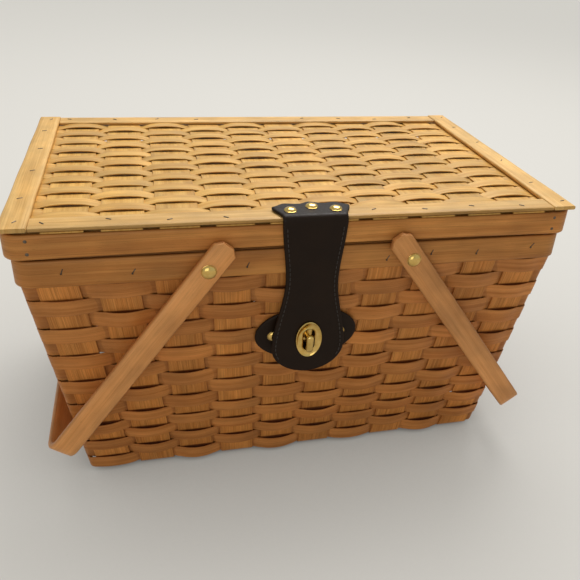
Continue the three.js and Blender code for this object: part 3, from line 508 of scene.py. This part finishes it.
# Lacquered brass: yellow and bright, with faint rubbed patches.
brass = bpy.data.materials.new("lacquered_brass")
brass.use_nodes = True
tree = brass.node_tree
tree.nodes.clear()
place = node(tree, "TexCoord").outputs["Object"]
rubbed = node(tree, "TexNoise", {"Vector": place, "Scale": 1 / (4 * MM), "Detail": 3.0}).outputs[0]
scuffs = node(tree, "TexNoise", {"Vector": place, "Scale": 1 / (0.35 * MM), "Detail": 2.0}).outputs[0]
colour = node(tree, "Mix", {0: rubbed, 6: linear("b9903f"), 7: linear("dfc07a")}, data_type="RGBA").outputs[2]
rough = node(tree, "MapRange", {"Value": rubbed, 1: 0.3, 2: 0.7, 3: 0.08, 4: 0.18}).outputs[0]
bump = node(tree, "Bump", {"Height": scuffs, "Strength": 0.15, "Distance": 0.03 * MM}).outputs[0]
shader = node(tree, "BsdfPrincipled", {"Base Color": colour, "Metallic": 1.0, "Roughness": rough,
                                       "Normal": bump})
node(tree, "OutputMaterial", {"Surface": shader.outputs[0]})
rivet_profile = [(0, 129.1), (3.4, 129.2), (4.8, 129.6), (5.0, 130.4), (2.4, 130.5), (2.4, 139.3),
                 (6.7, 139.3), (7.0, 139.6), (7.0, 142.0), (6.7, 142.3), (2.4, 142.3), (2.4, 147.9),
                 *dome(6.0, 3.0, 147.9)]
for face, depth in (("front", -1), ("back", 1)):
    for hand, side in (("left", -1), ("right", 1)):
        name = f"handle_rivet_{face}_{hand}"
        part = placed(turned(rivet_profile), (side * PIVOT[0], 0, PIVOT[1]), (0, depth, 0))
        piece(name, [part], brass, "basket", [name])

# Handles: each is one strip of ash, planed, steamed into a U and left to dry on a form. It swings on two
# rivets, and its upper corners are cut off.
HANDLE_HALF = 10.0
HANDLE_THICK = 5.0
HANDLE_REACH = 211.0
HANDLE_TIP = 25.0
HANDLE_CUT = 5.0
HANDLE_BEND = 16.0
HANDLE_REST = math.radians(37.2712)
ARM_MIDDLE = 145.1
# Planed ash for the hand: pale, with fine long lines and small dark pores, and a satin surface.
handle_wood = wood("ash_handle", "f0aa66", "e49c58", "9e602c", 0.5, 4.0, 0.3, 0.45, 0.03)
for hand, side in (("left", -1), ("right", 1)):
    down = np.array([side * math.sin(HANDLE_REST), 0.0, -math.cos(HANDLE_REST)])
    across = np.array([math.cos(HANDLE_REST), 0.0, side * math.sin(HANDLE_REST)])
    pivot = np.array([side * PIVOT[0], 0.0, PIVOT[1]])
    bend = HANDLE_BEND - HANDLE_THICK / 2
    foot = HANDLE_REACH - HANDLE_BEND
    tip = [u - HANDLE_TIP for u in (0, 0.4, 1.2, 2.5, 4, 5, 6)]
    flat = [(u, -ARM_MIDDLE) for u in (*tip, *np.arange(11 - HANDLE_TIP, foot, 6))]
    flat += [(foot + bend * math.sin(a), -ARM_MIDDLE + bend * (1 - math.cos(a)))
             for a in np.linspace(0, math.pi / 2, 12)]
    cross_end = ARM_MIDDLE - bend
    flat += [(foot + bend, y) for y in np.linspace(-cross_end, 0, 24)[1:]]
    flat += [(u, -y) for u, y in reversed(flat[:-1])]
    path = [pivot + u * down + np.array([0, y, 0]) for u, y in flat]
    ends = np.array([min(1.0, (HANDLE_TIP + u) / HANDLE_CUT) for u, y in flat])
    width = HANDLE_HALF - HANDLE_CUT * (1 - ends)
    part = splint(path, across, width, HANDLE_THICK, 41.3 - side, columns=5, ease=0.9, crown=0.1)
    piece(f"handle_{hand}", [part], handle_wood, f"handle_{hand}", [f"handle_{hand}"])

# Lid band and frame: a flat ash band steamed round the lid's corners, with a frame of flat ash battens
# glued inside its top edge to carry the woven panel.
LID_OUTSIDE = (225.0, 140.0)
LID_BAND_MIDDLE = 239.75
LID_BAND_HEIGHT = 19.5
LID_BAND_BOW = 1.7
BATTEN_THICK = 5.0
FRONT_BATTEN_HALF, FRONT_BATTEN_END = 6.0, 221.5
FRONT_BATTEN_Y, FRONT_BATTEN_LEVEL = 126.2, 246.6
SIDE_BATTEN_HALF, SIDE_BATTEN_END = 8.0, 120.4
SIDE_BATTEN_X, SIDE_BATTEN_LEVEL = 213.7, 247.0
# The lid's splints are paler and yellower than the walls, partly their own colour and partly painted light
# from the lamp above, with the walls' wood made deeper for their shade. They have faint long streaks, and
# their varnish shines.
lid_wood = wood("ash_lid", "dbac5a", "c99443", "9a6424", 0.6, 4.0, 0.3, 0.42, 0.05)
band = hoop(LID_OUTSIDE, LID_BAND_MIDDLE, LID_BAND_HEIGHT, 51.4, bowed=LID_BAND_BOW)
piece("lid_band", [band], band_wood, "lid", ["lid_band"])
battens = []
for side in (-1, 1):
    run = np.linspace(-FRONT_BATTEN_END, FRONT_BATTEN_END, 40)
    path = [(x, side * FRONT_BATTEN_Y, FRONT_BATTEN_LEVEL) for x in run]
    battens.append(splint(path, (0, 1, 0), FRONT_BATTEN_HALF, BATTEN_THICK, 53 + side, ease=0.6))
    run = np.linspace(-SIDE_BATTEN_END, SIDE_BATTEN_END, 30)
    path = [(side * SIDE_BATTEN_X, y, SIDE_BATTEN_LEVEL) for y in run]
    battens.append(splint(path, (-1, 0, 0), SIDE_BATTEN_HALF, BATTEN_THICK, 56 + side, ease=0.6))
piece("lid_frame", battens, lid_wood, "lid")

# Lid panel: ten stakes from front to back, nailed down on the frame and the band's edge, and nineteen
# weavers from side to side that arch over and under them. The ends lie under the edge strips.
LID_LEVEL = 250.55
LID_STAKES, LID_WEAVERS = 10, 19
LID_STAKE_END, LID_WEAVER_END = 139.3, 221.0
LID_STAKE_HALF = 16.0
LID_STAKE_THICK = 1.2
LID_STAKE_PITCH = 40.5
LID_STAKE_NARROWED = 1.6
LID_WEAVER_HALF = 6.15
LID_WEAVER_THICK = 0.9
LID_WEAVER_PITCH = 12.642
LID_WEAVER_OFFSET = 1.1
LID_OUTER_BOW, LID_INNER_BOW, LID_BOW_UNDER_TAB = 1.15, 0.4, 0.5
LID_PRESSED_IN, LID_STANDS_OUT = -0.25, 0.3
LID_GAP_SHADE = 0.85
LID_STAKE_HELD = np.array([122, 140])
LID_WEAVER_HELD = np.array([204, 222])
LID_GRIP, LID_BOW_REACH, UNDER_TAB = 14, 17, 60
NARROWS_FROM, NARROWS_OVER = 119, 4
stake_places = (np.arange(LID_STAKES) - (LID_STAKES - 1) / 2) * LID_STAKE_PITCH
weaver_places = (np.arange(LID_WEAVERS) - (LID_WEAVERS - 1) / 2) * LID_WEAVER_PITCH
panel = []
for i, x in enumerate(stake_places):
    sunk = np.where((np.arange(LID_WEAVERS) + i) % 2 == 0, LID_PRESSED_IN, LID_STANDS_OUT)
    sunk *= chance.uniform(0.6, 1.2, LID_WEAVERS)
    run = np.linspace(-LID_STAKE_END, LID_STAKE_END, 240)
    knots = np.concatenate((-LID_STAKE_HELD[::-1], weaver_places, LID_STAKE_HELD))
    rise = flow(run, knots, np.concatenate(([0, 0], sunk, [0, 0])))
    path = [(x, y, LID_LEVEL + r) for y, r in zip(run, rise)]
    narrowed = eased(np.clip((np.abs(run) - NARROWS_FROM) / NARROWS_OVER, 0, 1))
    half = LID_STAKE_HALF - LID_STAKE_NARROWED * narrowed
    # Painted shade on the stakes under the weavers that arch over them, from just outside each weaver's
    # edges.
    deep = LID_WEAVER_HALF - np.min(np.abs(run[:, None] - weaver_places[None, i % 2::2]), axis=1)
    painted_shade = LID_GAP_SHADE * eased(np.clip((deep + 0.6) / 1.2, 0, 1))
    seed = 60 + i + chance.uniform(0, 0.5)
    panel.append(splint(path, (-1, 0, 0), half, LID_STAKE_THICK, seed, columns=5, ease=0.25, painted_shade=painted_shade))
for row, y in enumerate(weaver_places):
    signs = np.where((row + np.arange(LID_STAKES)) % 2 == 0, 1.0, -1.0)
    bows = np.where(signs > 0, LID_OUTER_BOW, LID_INNER_BOW) * chance.uniform(0.6, 1.3, LID_STAKES)
    if row == 0:
        bows = np.where(np.abs(stake_places) < UNDER_TAB, LID_BOW_UNDER_TAB, bows)
    gripped = np.ravel([(x - LID_GRIP, x + LID_GRIP) for x in stake_places])
    knots = np.concatenate((-LID_WEAVER_HELD[::-1], gripped, LID_WEAVER_HELD))
    values = np.concatenate(([0, 0], np.repeat(signs * LID_WEAVER_OFFSET, 2), [0, 0]))
    run = np.linspace(-LID_WEAVER_END, LID_WEAVER_END, 136)
    rise = flow(run, knots, values)
    near = np.argmin(np.abs(run[:, None] - stake_places[None, :]), axis=1)
    rise += np.clip(1 - ((run - stake_places[near]) / LID_BOW_REACH) ** 2, 0, 1) * signs[near] * bows[near]
    sway = 0.25 * np.sin(run / 61 + chance.uniform(0, 6))
    path = [(x, y + s, LID_LEVEL + r) for x, s, r in zip(run, sway, rise)]
    seed = 75 + row + chance.uniform(0, 0.5)
    panel.append(splint(path, (0, 1, 0), LID_WEAVER_HALF, LID_WEAVER_THICK, seed, ease=0.2))
piece("lid_panel", panel, lid_wood, "lid", ["lid_weave_panel"], sharp=35)

# Edge strips: four flat strips of sawn ash, nailed over the panel's ends. The side ones run the full depth
# and the other two fit between them. Their edges wander a little.
STRIP_HALF = 9.8
FRONT_STRIP_Y, FRONT_STRIP_END = 130.0, 204.7
FRONT_STRIP_LEVEL, FRONT_STRIP_THICK = 252.9, 2.6
SIDE_STRIP_X, SIDE_STRIP_END = 215.0, 139.9
SIDE_STRIP_LEVEL, SIDE_STRIP_THICK = 253.3, 3.3
# Sawn strips: pale, yellowish wood with wide soft bands, and a duller face than the panel beside it.
strip_wood = wood("ash_strip", "e0b46c", "d09f54", "a06c30", 1.0, 5.0, 0.35, 0.5, 0.05)
for name, at in (("front", -FRONT_STRIP_Y), ("back", FRONT_STRIP_Y)):
    run = np.linspace(-FRONT_STRIP_END, FRONT_STRIP_END, 90)
    path = [(x, at, FRONT_STRIP_LEVEL) for x in run]
    width = STRIP_HALF + 0.2 * np.sin(run / 9 + chance.uniform(0, 6)) * np.sin(run / 31)
    part = splint(path, (0, 1, 0), width, FRONT_STRIP_THICK, 97 + at / 100, columns=5, ease=0.6, crown=0.05)
    piece(f"lid_strip_{name}", [part], strip_wood, "lid", [f"lid_strip_{name}"])
for name, side in (("left", -1), ("right", 1)):
    run = np.linspace(-SIDE_STRIP_END, SIDE_STRIP_END, 60)
    path = [(side * SIDE_STRIP_X, y, SIDE_STRIP_LEVEL) for y in run]
    width = STRIP_HALF + 0.18 * np.sin(run / 14 + chance.uniform(0, 6))
    part = splint(path, (-1, 0, 0), width, SIDE_STRIP_THICK, 101.4 + side, columns=5, ease=0.8, crown=0.05)
    piece(f"lid_strip_{name}", [part], strip_wood, "lid", [f"lid_strip_{name}"])

# Lid staples: the same steel wire, driven flat into the edge strips, each turned its own way, and two small
# nails at each end of the lid band's front.
FLAT_STAPLE_HALF = 2.2
FLAT_STAPLE_RADIUS = 0.55
FRONT_STAPLE_LEVEL, SIDE_STAPLE_LEVEL = 254.3, 254.9
SIDE_STAPLE_X, NAIL_X = 216, 207


def flat_staple(x, y, level, turn):
    reach = FLAT_STAPLE_HALF * np.array([math.cos(turn), math.sin(turn), 0.0])
    return wire((x, y, level) - reach, (x, y, level) + reach, FLAT_STAPLE_RADIUS)


lid_staples = []
for face in (-1, 1):
    for x in (-196, -151, -108, -67, 50, 92, 134, 178):
        turn = chance.uniform(-0.9, 0.9)
        y = face * FRONT_STRIP_Y + chance.uniform(-3, 3)
        lid_staples.append(flat_staple(x, y, FRONT_STAPLE_LEVEL, turn))
nail = turned([(0, -0.3), (1.2, -0.3), (1.3, 0.1), (0.8, 0.3), (0, 0.35)], 16)
for side in (-1, 1):
    for y in (-128, -84, -23, 35, 90, 130):
        turn = chance.uniform(0.2, 1.1)
        out = SIDE_STAPLE_X + chance.uniform(-3, 3)
        lid_staples.append(flat_staple(side * out, y, SIDE_STAPLE_LEVEL, turn))
    lid_staples += [placed(nail, (side * NAIL_X, -LID_OUTSIDE[1], z), (0, -1, 0)) for z in (235, 245)]
piece("lid_staples", lid_staples, staple_steel, "lid")

# Hinges: two butt hinges of sheet brass at the back. Each leaf is rolled round the pin in turns, and is
# held with two screws.
HINGE_AXIS = (146.0, 236.0)
HINGE_PLACE = 34.0
LEAF_HALF = 15.0
LEAF_SEAT = 141.05
ROLL_THICK = 1.5
ROLL_RADIUS = 2.25
KNUCKLE_HALF = 4.8
KNUCKLE_PLACE, SCREW_PLACE = 10.2, 9
LOWER_LEAF, LOWER_LEAF_THICK = (211.3, 228.1), 2.4
UPPER_LEAF, UPPER_LEAF_THICK = (239.3, 249.1), 1.4


def rolled(start_z, stop_z, x, way):
    """A leaf's knuckle, from the leaf to the pin and round it. Way is 1 for a leaf below the pin."""
    turn_y, turn_z = HINGE_AXIS
    rows = [(LEAF_SEAT, z) for z in np.linspace(start_z, stop_z, 6)]
    rows += [(LEAF_SEAT + t * (turn_y - LEAF_SEAT), turn_z - way * (ROLL_RADIUS + (1 - eased(t)) * 0.9))
             for t in (0.12, 0.3, 0.5, 0.75)]
    rows += [(turn_y + ROLL_RADIUS * math.sin(a), turn_z - way * ROLL_RADIUS * math.cos(a))
             for a in np.linspace(0, math.radians(300), 22)]
    return splint([(x, y, z) for y, z in rows], (way, 0, 0), KNUCKLE_HALF, ROLL_THICK, 0.0, ease=0.25)


screw = turned([(0, -0.4), (2.4, -0.4), (2.4, 0.15), (2.0, 0.4), (1.0, 0.55), (0, 0.6)], 24)
pin = turned([(0, -15.6), (1.9, -15.6), (1.9, -15.0), (1.2, -15.0), (1.2, 15.0), (1.9, 15.0), (1.9, 15.6),
              (0, 15.6)], 24)
for hand, side in (("left", -1), ("right", 1)):
    middle = side * HINGE_PLACE
    path = [(middle, LEAF_SEAT - 0.5, z) for z in np.linspace(*LOWER_LEAF, 8)]
    lower = [splint(path, (1, 0, 0), LEAF_HALF, LOWER_LEAF_THICK, 0.0, ease=0.4)]
    lower += [rolled(226.5, 232.5, middle + KNUCKLE_PLACE * end, 1) for end in (-1, 1)]
    lower += [placed(screw, (middle + SCREW_PLACE * end, 141.8, 218.5), (0, 1, 0)) for end in (-1, 1)]
    lower.append(placed(pin, (middle, *HINGE_AXIS), (1, 0, 0)))
    piece(f"hinge_lower_leaf_{hand}", lower, brass, "basket", [f"hinge_lower_leaf_{hand}"])
    path = [(middle, LEAF_SEAT, z) for z in np.linspace(*UPPER_LEAF, 8)]
    upper = [splint(path, (1, 0, 0), LEAF_HALF, UPPER_LEAF_THICK, 0.0, ease=0.4)]
    upper.append(rolled(241.5, 239.5, middle, -1))
    upper += [placed(screw, (middle + SCREW_PLACE * end, 141.75, 245.0), (0, 1, 0)) for end in (-1, 1)]
    piece(f"hinge_upper_leaf_{hand}", upper, brass, "lid", [f"hinge_upper_leaf_{hand}"])

# Backing plate: an oval of dark leather with its edge pressed down. Two domed brass rivets hold it flat
# against the weave, and it carries the lock.
WALL_OUT = np.array([0.0, -1.0, -WALL_LEAN[1]]) / math.hypot(1, WALL_LEAN[1])
WALL_UP = np.array([0.0, -WALL_LEAN[1], 1.0]) / math.hypot(1, WALL_LEAN[1])
PLATE_RIVET_PLACE = 28.5
PLATE_SEAT = np.array([0.0, -(half_at(PLATE_HEIGHT)[1] + 2.45), PLATE_HEIGHT])


def stacked(rings, capped=True):
    """A closed skin through rings of the same number of points, given from the back to the front."""
    count = len(rings[0])
    faces = bridged(len(rings), count)
    return np.concatenate(rings), faces if capped else faces[2:]


def oval(width, height, level, sides=64):
    turns = np.arange(sides) * 2 * math.pi / sides
    return np.stack([width / 2 * np.cos(turns), height / 2 * np.sin(turns), np.full(sides, float(level))], 1)


def oblong(width, height, level, sides=64):
    """An upright slot shape with round ends, its points at the same turns as an oval's."""
    turns = np.arange(sides) * 2 * math.pi / sides
    straight = (height - width) / 2 * np.sign(np.round(np.sin(turns), 6))
    return np.stack([width / 2 * np.cos(turns), width / 2 * np.sin(turns) + straight,
                     np.full(sides, float(level))], 1)


# Dark brown leather with a coloured face: fine pebbled grain, a cloudy dark tone and a soft shine.
leather = bpy.data.materials.new("dark_leather")
leather.use_nodes = True
tree = leather.node_tree
tree.nodes.clear()
place = node(tree, "TexCoord").outputs["Object"]
pebble = node(tree, "TexVoronoi", {"Vector": place, "Scale": 1 / (0.8 * MM)},
              feature="SMOOTH_F1").outputs["Distance"]
crease = node(tree, "TexNoise", {"Vector": place, "Scale": 1 / (2.2 * MM), "Detail": 4.0}).outputs[0]
cloudy = node(tree, "TexNoise", {"Vector": place, "Scale": 1 / (18 * MM), "Detail": 3.0}).outputs[0]
colour = node(tree, "Mix", {0: cloudy, 6: linear("190d04"), 7: linear("26170a")}, data_type="RGBA").outputs[2]
rough = node(tree, "MapRange", {"Value": crease, 1: 0.3, 2: 0.7, 3: 0.42, 4: 0.56}).outputs[0]
height = node(tree, "Math", {0: pebble, 1: crease}, operation="ADD").outputs[0]
bump = node(tree, "Bump", {"Height": height, "Strength": 0.35, "Distance": 0.12 * MM}).outputs[0]
shader = node(tree, "BsdfPrincipled", {"Base Color": colour, "Roughness": rough, "Normal": bump,
                                       "Specular IOR Level": 0.14})
node(tree, "OutputMaterial", {"Surface": shader.outputs[0]})
plate_rings = [oval(2 * PLATE_HALF[0] - inset, 2 * PLATE_HALF[1] - inset, level) for inset, level in (
    (1.6, 0.3), (0.4, 0.7), (0.0, 1.3), (0.8, 2.0), (2.6, 2.5), (6.0, 2.62))]
plate_rings += [oval(60.0, 34.0, 2.72), oval(30.0, 17.0, 2.75)]
piece("clasp_backing_plate", [placed(stacked(plate_rings), PLATE_SEAT, WALL_OUT, WALL_UP)],
      leather, "basket", ["clasp_backing_plate"])
small_rivet = turned([(0, 0), *dome(5.0, 2.4, 0.0)], 36)
plate_rivets = []
for side in (-1, 1):
    spot = PLATE_SEAT + WALL_OUT * 2.5 + np.array([side * PLATE_RIVET_PLACE, 0, 0])
    plate_rivets.append(placed(small_rivet, spot, WALL_OUT, WALL_UP))
piece("plate_rivets", plate_rivets, brass, "basket")

# Turn-lock: an oval brass base on the plate, and an oblong brass knob on a post that turns in it. The strap
# goes on over the upright knob, and a quarter turn holds it.
KNOB_BACK = 14.2
base_rings = [oval(15, 26, 3.1), oval(15, 26, 5.8), oval(14, 25, 6.6), oval(11, 22, 6.6), oval(6.2, 6.2, 6.6)]
piece("turn_lock_base", [placed(stacked(base_rings), PLATE_SEAT, WALL_OUT, WALL_UP)], brass,
      "basket", ["turn_lock_base"])
knob_rings = [oblong(width, height, KNOB_BACK + level) for width, height, level in (
    (4.6, 15.4, 0), (5.8, 16.8, 0.6), (6.0, 17.0, 1.6), (6.0, 17.0, 2.8), (5.0, 16.0, 3.7), (2.6, 13.0, 4.0))]
post = turned([(0, 3.5), (2.2, 3.5), (2.2, KNOB_BACK + 0.5), (0, KNOB_BACK + 0.5)], 24)
piece("turn_knob", [placed(stacked(knob_rings), PLATE_SEAT, WALL_OUT, WALL_UP),
                    placed(post, PLATE_SEAT, WALL_OUT, WALL_UP)], brass, "turn_knob", ["turn_knob"])

# Clasp strap: one piece of the same leather. Its waved tab is riveted on the lid, it bends over the lid's
# edge, narrows, and widens again round the slot for the lock.
STRAP_THICK = 2.5
STRAP_TOP, STRAP_WAIST, STRAP_TIP = 25.5, 21.5, 31.0
WAIST_DROP, TIP_DROP, TIP_LENGTH = 52.0, 116.0, 25.0
TAB_HALF, TAB_LENGTH, TAB_START = 31.0, 26.9, 4.0
SLOT = (10.0, 21.0)
BEND_RADIUS = 3.75
BEND_Y, BEND_Z = -141.85, 252.95
BEND_CENTRE = 252.0
LEAN_IN = math.radians(0.641)
LOCK_DROP = 107.95 / math.cos(LEAN_IN)
HANG = np.array([0.0, math.sin(LEAN_IN), -math.cos(LEAN_IN)])
STRAP_OUT = np.array([0.0, -math.cos(LEAN_IN), -math.sin(LEAN_IN)])


def strap_half(drop):
    """Half the strap's width at a drop below the bend."""
    if drop <= TIP_DROP:
        return flow(np.array([drop]), np.array([0.0, WAIST_DROP, TIP_DROP]),
                    np.array([STRAP_TOP, STRAP_WAIST, STRAP_TIP]))[0]
    return STRAP_TIP * math.sqrt(max(0.0, 1 - ((drop - TIP_DROP) / TIP_LENGTH) ** 2))


def tab_edge(across):
    """How far the tab's waved end lies behind the bend."""
    return flow(np.array([abs(across)]), np.array([0.0, 9.5, 20.0, 31.0]),
                np.array([27.0, 23.0, 25.0, 19.0]))[0]


path, width = [], []
for back in np.linspace(TAB_LENGTH, 3.8, 12):
    path.append((0, BEND_Y + back, BEND_CENTRE + BEND_RADIUS))
    width.append(STRAP_TOP + (TAB_HALF - STRAP_TOP) * eased(back / TAB_LENGTH))
for turn in np.linspace(0.1, math.pi / 2, 9):
    path.append((0, BEND_Y + BEND_RADIUS * (1 - math.sin(turn)), BEND_CENTRE + BEND_RADIUS * math.cos(turn)))
    width.append(STRAP_TOP)
for drop in (2, 5, 9, 14, *np.arange(20, 129, 4), 131, 134, 136, 138, 139.4, 140.4, 140.9):
    path.append(np.array([0.0, BEND_Y, BEND_Z]) + drop * HANG)
    width.append(strap_half(drop))
width = np.maximum(width, 0.6)
points, faces, grain = splint(path, (1, 0, 0), width, STRAP_THICK, 0.0, columns=25, ease=0.55)
for point in points:
    behind = point[1] - BEND_Y - TAB_START
    if point[2] > BEND_CENTRE + 2 and behind > 0:
        point[1] += (tab_edge(point[0]) - TAB_LENGTH) * behind / (TAB_LENGTH - TAB_START)
strap = piece("clasp_strap", [(points, faces, grain)], leather, sharp=60)
slot_place = np.array([0.0, BEND_Y, BEND_Z]) + LOCK_DROP * HANG
slot_shape = placed(stacked([oblong(*SLOT, -6), oblong(*SLOT, 6)]), slot_place, STRAP_OUT, -HANG)
cutter = piece("slot_cutter", [slot_shape], leather)
cutting = strap.modifiers.new("slot", "BOOLEAN")
cutting.object = cutter
cutting.solver = "EXACT"
bpy.context.view_layer.update()
cut_mesh = bpy.data.meshes.new_from_object(strap.evaluated_get(bpy.context.evaluated_depsgraph_get()))
strap.modifiers.clear()
strap.data = cut_mesh
bpy.data.objects.remove(cutter)
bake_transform(strap)
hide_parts("clasp_strap", "clasp_strap_tab")

# Stitching: waxed dark thread, sewn three millimetres inside the strap's edges before it was riveted on.
# The thread is a shade paler than the leather.
thread = bpy.data.materials.new("waxed_thread")
thread.use_nodes = True
tree = thread.node_tree
tree.nodes.clear()
place = node(tree, "TexCoord").outputs["Object"]
twist = node(tree, "TexWave", {"Vector": place, "Scale": 1 / (0.9 * MM) / 6.28, "Distortion": 0.4},
             bands_direction="DIAGONAL").outputs["Fac"]
colour = node(tree, "Mix", {0: twist, 6: linear("1d1610"), 7: linear("3a3028")}, data_type="RGBA").outputs[2]
bump = node(tree, "Bump", {"Height": twist, "Strength": 0.5, "Distance": 0.1 * MM}).outputs[0]
shader = node(tree, "BsdfPrincipled", {"Base Color": colour, "Roughness": 0.6, "Normal": bump})
node(tree, "OutputMaterial", {"Surface": shader.outputs[0]})
STITCH_PITCH, STITCH_LENGTH, STITCH_INSET = 4.2, 3.0, 3.2
stitches = []
origin = np.array([0.0, BEND_Y, BEND_Z]) + STRAP_OUT * 1.3
for side in (-1, 1):
    for drop in np.arange(6, 126, STITCH_PITCH):
        ends = [origin + d * HANG + np.array([side * (strap_half(d) - STITCH_INSET), 0, 0])
                for d in (drop, drop + STITCH_LENGTH)]
        stitches.append(wire(*ends, 0.4))
stitching = piece("strap_stitching", stitches, thread)
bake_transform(stitching)

# Strap rivets: three domed brass rivets, one in each wave of the tab's end. They go through the tab and the
# edge strip and hold the strap on the lid.
strap_rivet = turned([(0, 252.0), (1.9, 252.0), (1.9, 257.1), *dome(5.0, 2.6, 257.1)], 36)
for number, (x, y) in enumerate(((-18, -131), (0, -125), (18, -131))):
    name = f"strap_rivet_{number + 1}"
    piece(name, [(strap_rivet[0] + np.array([x, y, 0]), strap_rivet[1])], brass, "lid", [name])

# Eyelet: an oval of sheet brass, pressed so that its rim and the slot's lip stand up, and clinched through
# the strap round its slot.
eyelet_rings = [oblong(*SLOT, 1.5), oval(22.4, 34.4, 1.5), oval(23.0, 35.0, 1.9), oval(22.6, 34.6, 2.8),
                oval(21.6, 33.6, 3.3), oval(20.4, 32.4, 3.1), oval(19.2, 31.2, 2.6), oblong(12.0, 23.0, 2.6),
                oblong(11.2, 22.2, 3.2), oblong(10.2, 21.2, 3.0), oblong(*SLOT, 2.2),
                oblong(*SLOT, 1.5)]
piece("clasp_eyelet", [placed(stacked(eyelet_rings, capped=False), slot_place, STRAP_OUT, -HANG)],
      brass, "strap", ["clasp_eyelet"])

# Floor and backdrop: a plain pale sheet that the basket stands on. It is the stage and not part of the
# object. It lies a little under the lowest upright, so that the two don't share a plane.
sheet = bpy.data.meshes.new("floor")
sheet.from_pydata([(x, y, -0.0003) for x, y in ((-6, -6), (6, -6), (6, 6), (-6, 6))], [], [(0, 1, 2, 3)])
floor = bpy.data.objects.new("floor", sheet)
bpy.context.scene.collection.objects.link(floor)


def looked_at(tree):
    """1 for the rays that show a surface to the camera, also in metal and through glass."""
    ray = node(tree, "LightPath").outputs
    seen = ray["Is Camera Ray"]
    for kind in ("Is Glossy Ray", "Is Transmission Ray"):
        seen = node(tree, "Math", {0: seen, 1: ray[kind]}, operation="MAXIMUM").outputs[0]
    return seen


# Smooth pale paper. It looks paler than the light that it throws back. That glow is dimmed by ambient
# occlusion close to the basket, a painted contact shadow.
paper = bpy.data.materials.new("pale_floor")
paper.use_nodes = True
tree = paper.node_tree
tree.nodes.clear()
seen = looked_at(tree)
colour = node(tree, "Mix", {0: seen, 6: linear("c8c3ba"), 7: linear("6a6864")}, data_type="RGBA").outputs[2]
# Painted contact shadow: the glow fades where ambient occlusion finds the basket close by.
open_air = node(tree, "AmbientOcclusion", {"Distance": 0.6}).outputs["AO"]
open_air = node(tree, "Math", {0: open_air, 1: 0.8}, operation="POWER").outputs[0]
lift = node(tree, "Math", {0: seen, 1: open_air}, operation="MULTIPLY").outputs[0]
lift = node(tree, "Math", {0: lift, 1: 0.58}, operation="MULTIPLY").outputs[0]
shader = node(tree, "BsdfPrincipled", {"Base Color": colour, "Roughness": 0.8, "Emission Strength": lift,
                                       "Emission Color": linear("fbf7ee")})
node(tree, "OutputMaterial", {"Surface": shader.outputs[0]})
sheet.materials.append(paper)

# Light: a wide soft lamp overhead and a little behind, a weak one in front, and a pale room that is
# brightest round the horizon. The camera and glossy surfaces see an even pale wall.
for name, spot, size, power in (("above", (0.5, 1.0, 2.1), 1.4, 58.0),
                                ("front", (-1.6, -4.8, 1.6), 3.2, 44.0)):
    lamp = bpy.data.lights.new(name, "AREA")
    lamp.size = size
    lamp.energy = power
    holder = bpy.data.objects.new(name, lamp)
    holder.location = spot
    holder.rotation_euler = (Vector((0, 0, 0.12)) - Vector(spot)).to_track_quat("-Z", "Y").to_euler()
    bpy.context.scene.collection.objects.link(holder)
world = bpy.data.worlds.new("studio")
bpy.context.scene.world = world
world.use_nodes = True
tree = world.node_tree
tree.nodes.clear()
way = node(tree, "TexCoord").outputs["Generated"]
height = node(tree, "SeparateXYZ", {0: way}).outputs["Z"]
glow = node(tree, "MapRange", {"Value": height, 1: 0.0, 2: 1.0, 3: 0.42, 4: 0.12}).outputs[0]
room = node(tree, "Background", {"Color": linear("f6f5f1"), "Strength": glow})
wall = node(tree, "Background", {"Color": linear("ccd5d6"), "Strength": 1.0})
both = node(tree, "MixShader", {0: looked_at(tree), 1: room.outputs[0], 2: wall.outputs[0]})
node(tree, "OutputWorld", {"Surface": both.outputs[0]})
bpy.context.scene.view_settings.view_transform = "Standard"

# Camera: in front and to the left, looking down on the lid, turned a little on its axis. Its focal length
# and its shift were worked out in pixels of the picture, which is 580 wide.
PICTURE, FOCAL, SHIFT = 580, 660, -26
YAW, PITCH, ROLL = (math.radians(a) for a in (15.722, 29.591, 4.012))
ahead = Vector((math.sin(YAW) * math.cos(PITCH), math.cos(YAW) * math.cos(PITCH), -math.sin(PITCH)))
right = Vector((math.cos(YAW), -math.sin(YAW), 0))
above = right.cross(ahead)
tilted = math.cos(ROLL) * right + math.sin(ROLL) * above
raised = math.cos(ROLL) * above - math.sin(ROLL) * right
lens = bpy.data.cameras.new("photo_camera")
lens.sensor_width = 36.0
lens.lens = lens.sensor_width * FOCAL / PICTURE
lens.shift_x = SHIFT / PICTURE
lens.clip_start = 0.01
camera = bpy.data.objects.new("photo_camera", lens)
camera.matrix_world = Matrix((tilted, raised, -ahead)).transposed().to_4x4()
camera.location = (-0.12147, -0.58585, 0.45364)
bpy.context.scene.collection.objects.link(camera)
bpy.context.scene.camera = camera
